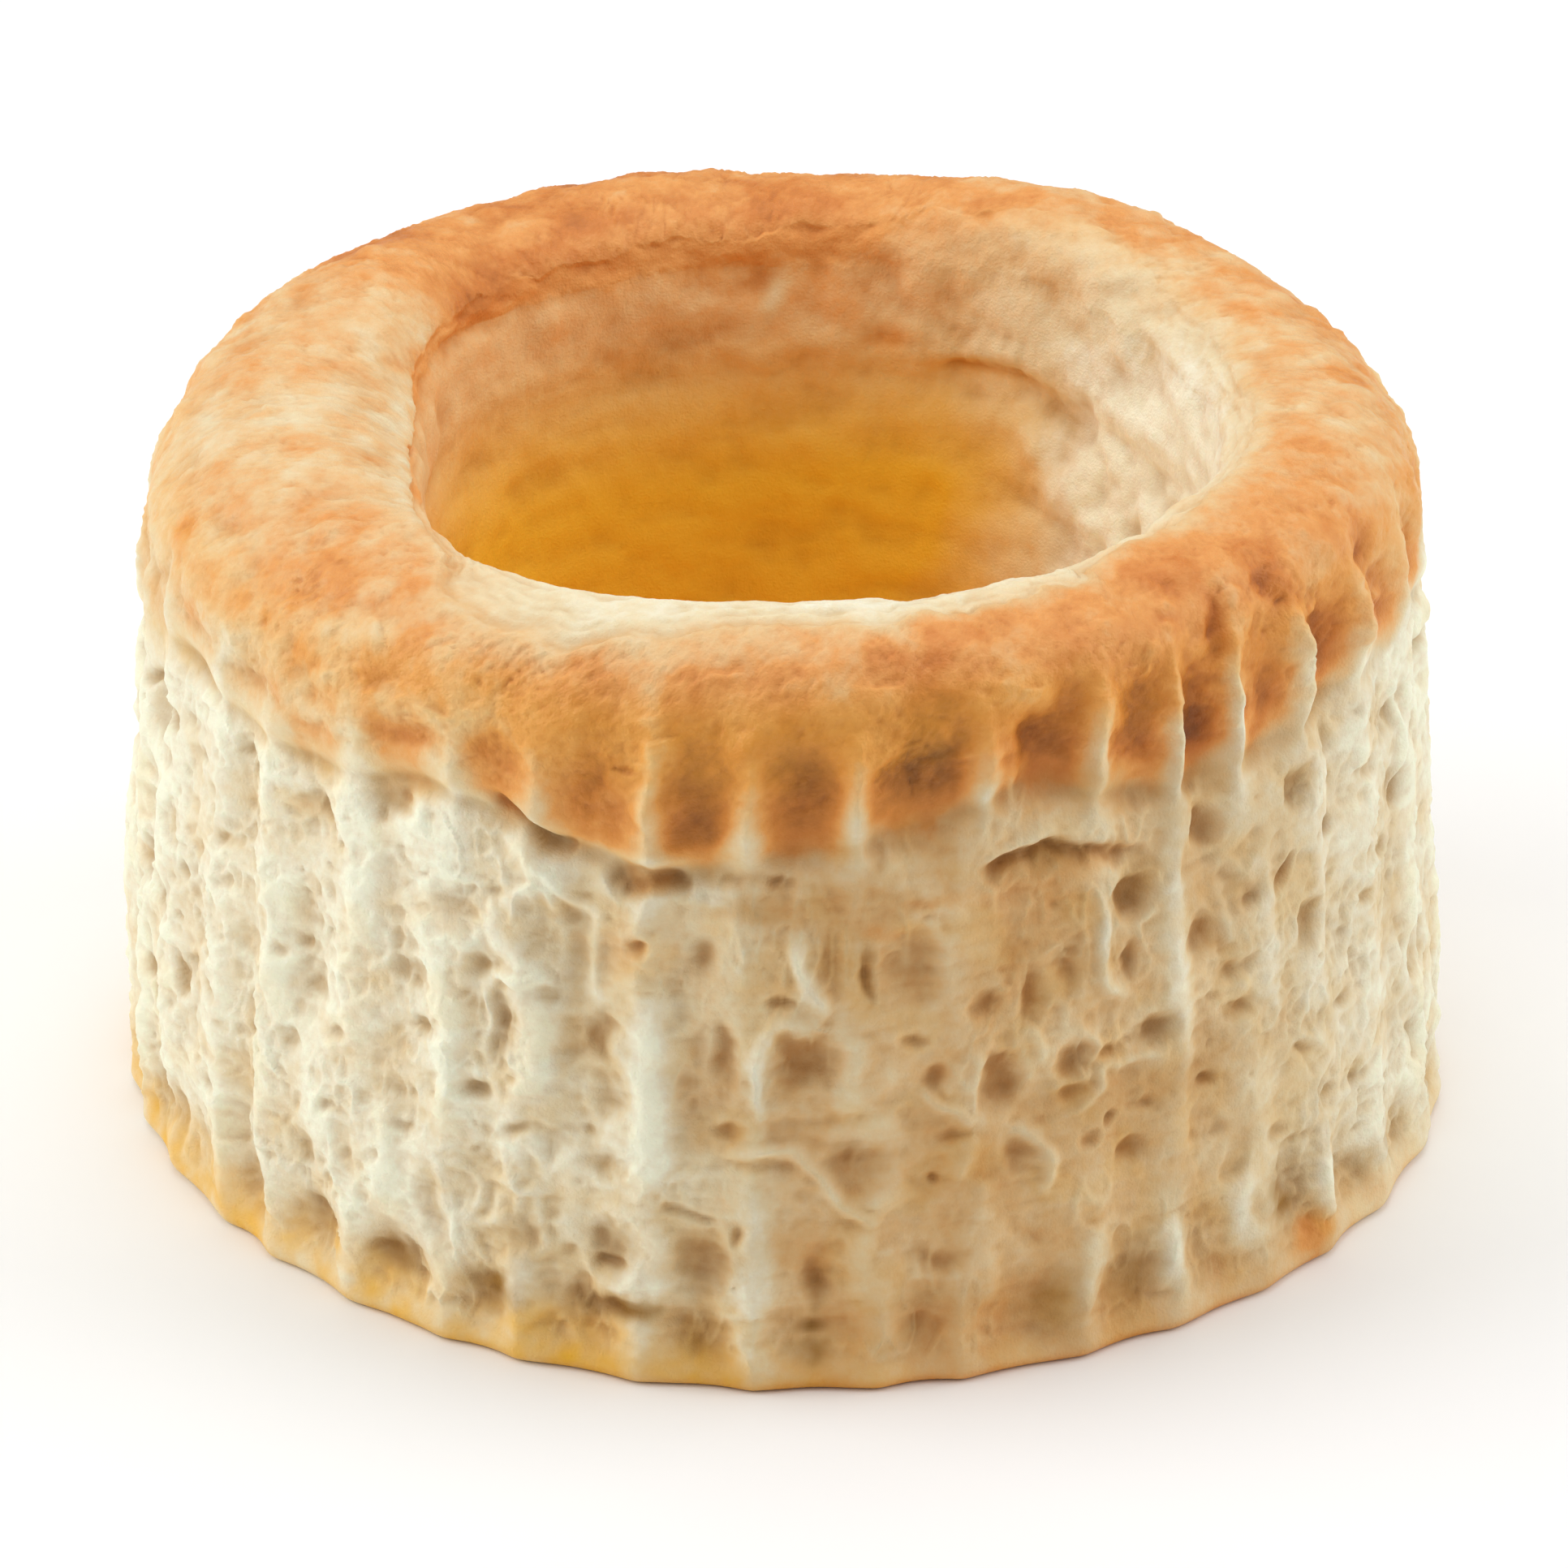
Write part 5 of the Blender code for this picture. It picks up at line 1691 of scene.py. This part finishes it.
@dataclass
class PastryCase:
    """The case, cut from its skin into meshes that each stay light."""

    skin: Skin
    finish: PastryFinish
    wall_pieces: int = 3
    # The underside: how many columns of the edge meet one of its own, how far out its rings lie as shares
    # of the edge's radius, how brown it is, and how many radii its flat map spans
    coarseness: int = 4
    rings: tuple[float, ...] = (0.97, 0.9, 0.8, 0.68, 0.55, 0.42, 0.28, 0.14)
    base_browning: float = 0.44
    base_map: float = 2.1
    # How many strips each piece's flat map has, and the map's margin
    wall_strips: int = 2
    crust_strips: int = 4
    lip_strips: int = 6
    hollow_strips: int = 3
    map_margin: float = 0.004

    def _mesh(self, name: str, points: Array, faces: Array, normals: Array, fields: dict[str, Array],
              places: Array) -> bpy.types.Object:
        """Makes one piece.

        Args:
            name: The piece's name.
            points: Its points in millimetres.
            faces: Rows of four point numbers, or with a repeated last one for a triangle.
            normals: The surface's direction at each point.
            fields: The finish's fields at each point.
            places: For each face corner its place on the piece's flat map.

        Returns:
            The object, dressed and riding on the case's body.
        """
        three = faces[:, 3] == faces[:, 2]
        sizes = np.where(three, 3, 4)
        keep = np.ones(faces.shape, bool)
        keep[three, 3] = False
        mesh = bpy.data.meshes.new(name)
        mesh.vertices.add(len(points))
        mesh.vertices.foreach_set("co", (points * MM).astype(np.float32).ravel())
        mesh.loops.add(int(sizes.sum()))
        mesh.loops.foreach_set("vertex_index", faces[keep].astype(np.int32))
        mesh.polygons.add(len(faces))
        starts = np.concatenate([[0], np.cumsum(sizes)[:-1]])
        mesh.polygons.foreach_set("loop_start", starts.astype(np.int32))
        mesh.update(calc_edges=True)
        flat = mesh.uv_layers.new(name="OFBake")
        flat.data.foreach_set("uv", places[keep].astype(np.float32).ravel())
        for label, values in fields.items():
            kept = mesh.attributes.new(label, "FLOAT", "POINT")
            kept.data.foreach_set("value", values.astype(np.float32))
        mesh.shade_smooth()
        mesh.normals_split_custom_set_from_vertices(normals.astype(np.float32))
        mesh.materials.append(self.material)
        piece = bpy.data.objects.new(name, mesh)
        bpy.context.scene.collection.objects.link(piece)
        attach(piece, BODY)
        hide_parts(NODE)
        log.info("%s: %d faces", name, len(faces))
        return piece

    def _cut(self, name: str, rows: slice, first: int, last: int, strips: int) -> bpy.types.Object:
        """A piece cut from the skin between two columns, which may go once all round.

        Args:
            name: The piece's name.
            rows: The skin's rows.
            first: The first column.
            last: The last column.
            strips: How many strips the piece's flat map has.

        Returns:
            The piece.
        """
        skin = self.skin
        count = skin.angle.size
        closed = last - first == count
        pick = np.arange(first, last + (0 if closed else 1)) % count
        number = np.arange((rows.stop - rows.start) * len(pick)).reshape(-1, len(pick))
        faces = sheet_faces(joined_round(number) if closed else number)
        places = self._places(faces.shape[0], faces.shape[1], strips).reshape(-1, 4, 2)
        points = skin.points[rows][:, pick].reshape(-1, 3)
        normals = skin.normals[rows][:, pick].reshape(-1, 3)
        fields = {label: values[rows][:, pick].ravel() for label, values in skin.values.items()}
        return self._mesh(name, points, faces.reshape(-1, 4), normals, fields, places)

    def _hollow(self) -> bpy.types.Object:
        """The hollow's wall and floor, with every second column below its first row.

        Returns:
            The piece.
        """
        skin = self.skin
        rows = skin.rows(Part.HOLLOW)
        whole, half = skin.angle.size, skin.angle.size // 2
        inner = slice(rows.start + 1, rows.stop)
        height = inner.stop - inner.start

        def gather(grid: Array) -> Array:
            """Picks a field's values for the piece's points.

            Args:
                grid: The field over the skin.

            Returns:
                The first row in full, the others with every second column, and the floor's middle.
            """
            rest = grid[inner][:, ::2]
            middle = rest[-1].mean(axis=0, keepdims=True)
            return np.concatenate([grid[rows.start], rest.reshape(-1, *grid.shape[2:]), middle])

        i = np.arange(half)
        below, after = whole + i, whole + (i + 1) % half
        top, mid, top_after = 2 * i, 2 * i + 1, (2 * i + 2) % whole
        fringe = np.concatenate([np.stack(corners, -1) for corners in (
            (top, mid, below, below), (mid, after, below, below), (mid, top_after, after, after))])
        number = joined_round(whole + np.arange(height * half).reshape(height, half))
        sheet = sheet_faces(number)
        last, hub = number[-1], np.full(half, whole + height * half)
        cap = np.stack([last[:-1], last[1:], hub, hub], -1)

        flat = self._places(sheet.shape[0] + 1, half, self.hollow_strips)
        edge = flat[0]
        centre = edge.mean(axis=1, keepdims=True)
        shrunk = [edge + (centre - edge) * share for share in (0.02, 0.3, 0.5, 0.8)]
        faces = np.concatenate([fringe, sheet.reshape(-1, 4), cap])
        places = np.concatenate([*shrunk[:3], flat[1:].reshape(-1, 4, 2), shrunk[3]])
        fields = {label: gather(values) for label, values in skin.values.items()}
        return self._mesh("hollow_wall", gather(skin.points), faces, gather(skin.normals), fields, places)

    def _places(self, rows: int, columns: int, strips: int) -> Array:
        """The flat map of a grid of faces, as strips one above another.

        Args:
            rows: How many rows of faces there are.
            columns: How many columns.
            strips: How many strips they are laid out in.

        Returns:
            For each face and each of its four corners the place on the map.
        """
        width, spread = math.ceil(columns / strips), 1.0 - 2.0 * self.map_margin
        strip, inside = np.divmod(np.arange(columns), width)
        made = np.zeros((rows, columns, 4, 2))
        for corner, (up, right) in enumerate(((0, 0), (0, 1), (1, 1), (1, 0))):
            made[:, :, corner, 0] = self.map_margin + (inside + right) / width * spread
            v = (np.arange(rows) + up)[:, None] / rows * spread + self.map_margin
            made[:, :, corner, 1] = (strip + v) / strips
        return made

    def _underside(self) -> bpy.types.Object:
        """The flat baked base.

        Returns:
            The piece.
        """
        skin, step = self.skin, self.coarseness
        edge = skin.points[0]
        count, coarse = len(edge), len(edge) // step
        points = np.concatenate([edge, *(edge[::step] * share for share in self.rings), np.zeros((1, 3))])
        faces = []
        for i in range(coarse):
            after = (i + 1) % coarse
            for k in range(step * i, step * i + step):
                faces.append((k, count + i, (k + 1) % count, (k + 1) % count))
            faces.append(((step * i + step) % count, count + i, count + after, count + after))
        for low in range(count, count + (len(self.rings) - 1) * coarse, coarse):
            for i in range(coarse):
                after = (i + 1) % coarse
                faces.append((low + i, low + coarse + i, low + coarse + after, low + after))
        last, hub = len(points) - 1 - coarse, len(points) - 1
        for i in range(coarse):
            faces.append((last + i, hub, last + (i + 1) % coarse, last + (i + 1) % coarse))
        faces = np.array(faces)
        reach = np.linalg.norm(points[:, :2], axis=1) / MEAN_RADIUS
        browning = self.base_browning + 0.12 * Grain(90).layered(points, 9.0)
        browning = browning + 0.08 * Grain(91).layered(points, 2.5, 2) + 0.10 * reach ** 4
        browning[:count] = skin.values["browning"][0]
        fields = {label: np.zeros(len(points)) for label in skin.values}
        fields["browning"] = browning
        normals = np.tile((0.0, 0.0, -1.0), (len(points), 1))
        places = points[faces][..., :2] / (self.base_map * MEAN_RADIUS) + 0.5
        return self._mesh("base_underside", points, faces, normals, fields, places)

    def build(self) -> list[bpy.types.Object]:
        """Makes every piece of the case.

        Returns:
            The pieces.
        """
        self.material = self.finish.material()
        skin, count = self.skin, self.skin.angle.size
        made = [self._underside()]
        for piece in range(self.wall_pieces):
            first, last = count * piece // self.wall_pieces, count * (piece + 1) // self.wall_pieces
            made.append(self._cut(f"flaky_wall_{piece + 1}", skin.rows(Part.WALL), first, last,
                                  self.wall_strips))
        made.append(self._cut("glazed_crust", skin.rows(Part.CRUST), 0, count, self.crust_strips))
        made.append(self._cut("torn_lip", skin.rows(Part.TORN), 0, count, self.lip_strips))
        made.append(self._hollow())
        return made


@dataclass(frozen=True)
class FloorFinish:
    """A pale matt studio floor."""

    name: str = "pale_floor"
    colour: Colour = (0.97, 0.97, 0.97)
    roughness: float = 0.9
    specular: float = 0.1

    def material(self) -> bpy.types.Material:
        """Builds the floor's material.

        Returns:
            The material.
        """
        material = bpy.data.materials.new(self.name)
        material.use_nodes = True
        shader = material.node_tree.nodes["Principled BSDF"]
        shader.inputs["Base Color"].default_value = (*self.colour, 1.0)
        shader.inputs["Roughness"].default_value = self.roughness
        shader.inputs["Specular IOR Level"].default_value = self.specular
        return material


@dataclass(frozen=True)
class Softbox:
    """A large soft lamp, aimed at the case."""

    name: str
    azimuth: float  # degrees from the front to the right
    elevation: float
    distance: float
    size: float
    power: float


@dataclass(frozen=True)
class Studio:
    """The floor, the lamps and the camera, in metres."""

    elevation: float = 27.0
    distance: float = 0.70
    aim_height: float = 0.0194
    view_width: float = 0.0947  # what the picture's width covers at the case
    sensor: float = 36.0
    clip_start: float = 0.01
    world_strength: float = 0.28
    floor_half: float = 3.0
    lamps: tuple[Softbox, ...] = (
        Softbox("left_softbox", -88.0, 30.0, 0.8, 0.7, 3.5),
        Softbox("right_softbox", 92.0, 30.0, 0.8, 0.7, 2.9),
        Softbox("back_softbox", 180.0, 62.0, 0.8, 0.8, 1.6),
        Softbox("top_softbox", 180.0, 88.0, 0.9, 0.7, 1.5),
        Softbox("front_softbox", 0.0, 55.0, 0.9, 0.6, 0.75),
    )

    def _aimed(self, name: str, data: bpy.types.ID, azimuth: float, elevation: float,
               distance: float) -> bpy.types.Object:
        """Puts a lamp or the camera round the case, aimed at it.

        Args:
            name: Its name.
            data: The lamp's or the camera's data.
            azimuth: Degrees from the front to the right.
            elevation: Degrees above the level.
            distance: How far away it stands.

        Returns:
            The object.
        """
        a, e = math.radians(azimuth), math.radians(elevation)
        back = Vector((math.sin(a) * math.cos(e), -math.cos(a) * math.cos(e), math.sin(e)))
        made = bpy.data.objects.new(name, data)
        made.location = Vector((0.0, 0.0, self.aim_height)) + back * distance
        made.rotation_euler = back.to_track_quat("Z", "Y").to_euler()
        bpy.context.scene.collection.objects.link(made)
        return made

    def _floor(self) -> None:
        """A wide floor under the case."""
        half = self.floor_half
        mesh = bpy.data.meshes.new("studio_floor")
        corners = [(x * half, y * half, 0.0) for x, y in ((-1, -1), (1, -1), (1, 1), (-1, 1))]
        mesh.from_pydata(corners, [], [(0, 1, 2, 3)])
        mesh.materials.append(FloorFinish().material())
        floor = bpy.data.objects.new("studio_floor", mesh)
        bpy.context.scene.collection.objects.link(floor)

    def _lamp(self, box: Softbox) -> None:
        """Adds one softbox.

        Args:
            box: The softbox.
        """
        data = bpy.data.lights.new(box.name, "AREA")
        data.shape, data.size, data.energy = "DISK", box.size, box.power
        self._aimed(box.name, data, box.azimuth, box.elevation, box.distance)

    def _camera(self) -> None:
        """The camera at the photo's angle."""
        data = bpy.data.cameras.new("camera")
        data.sensor_width = self.sensor
        data.lens = self.sensor * self.distance / self.view_width
        data.clip_start = self.clip_start
        bpy.context.scene.camera = self._aimed("camera", data, 0.0, self.elevation, self.distance)

    def build(self) -> None:
        """Makes the studio."""
        scene = bpy.context.scene
        scene.view_settings.view_transform = "Standard"
        scene.view_settings.look = "None"
        world = bpy.data.worlds.new("studio")
        world.use_nodes = True
        sky = world.node_tree.nodes["Background"].inputs
        sky["Color"].default_value = (1.0, 1.0, 1.0, 1.0)
        sky["Strength"].default_value = self.world_strength
        scene.world = world
        self._floor()
        for box in self.lamps:
            self._lamp(box)
        self._camera()


def main() -> None:
    """Builds the case and the studio and reports each piece."""
    logging.basicConfig(level=logging.INFO, format="%(name)s %(message)s")
    case = PastryCase(Skin(), PastryFinish())
    for piece in case.build():
        log.info("made %s", piece.name)
    Studio().build()


if __name__ == "__main__":
    main()
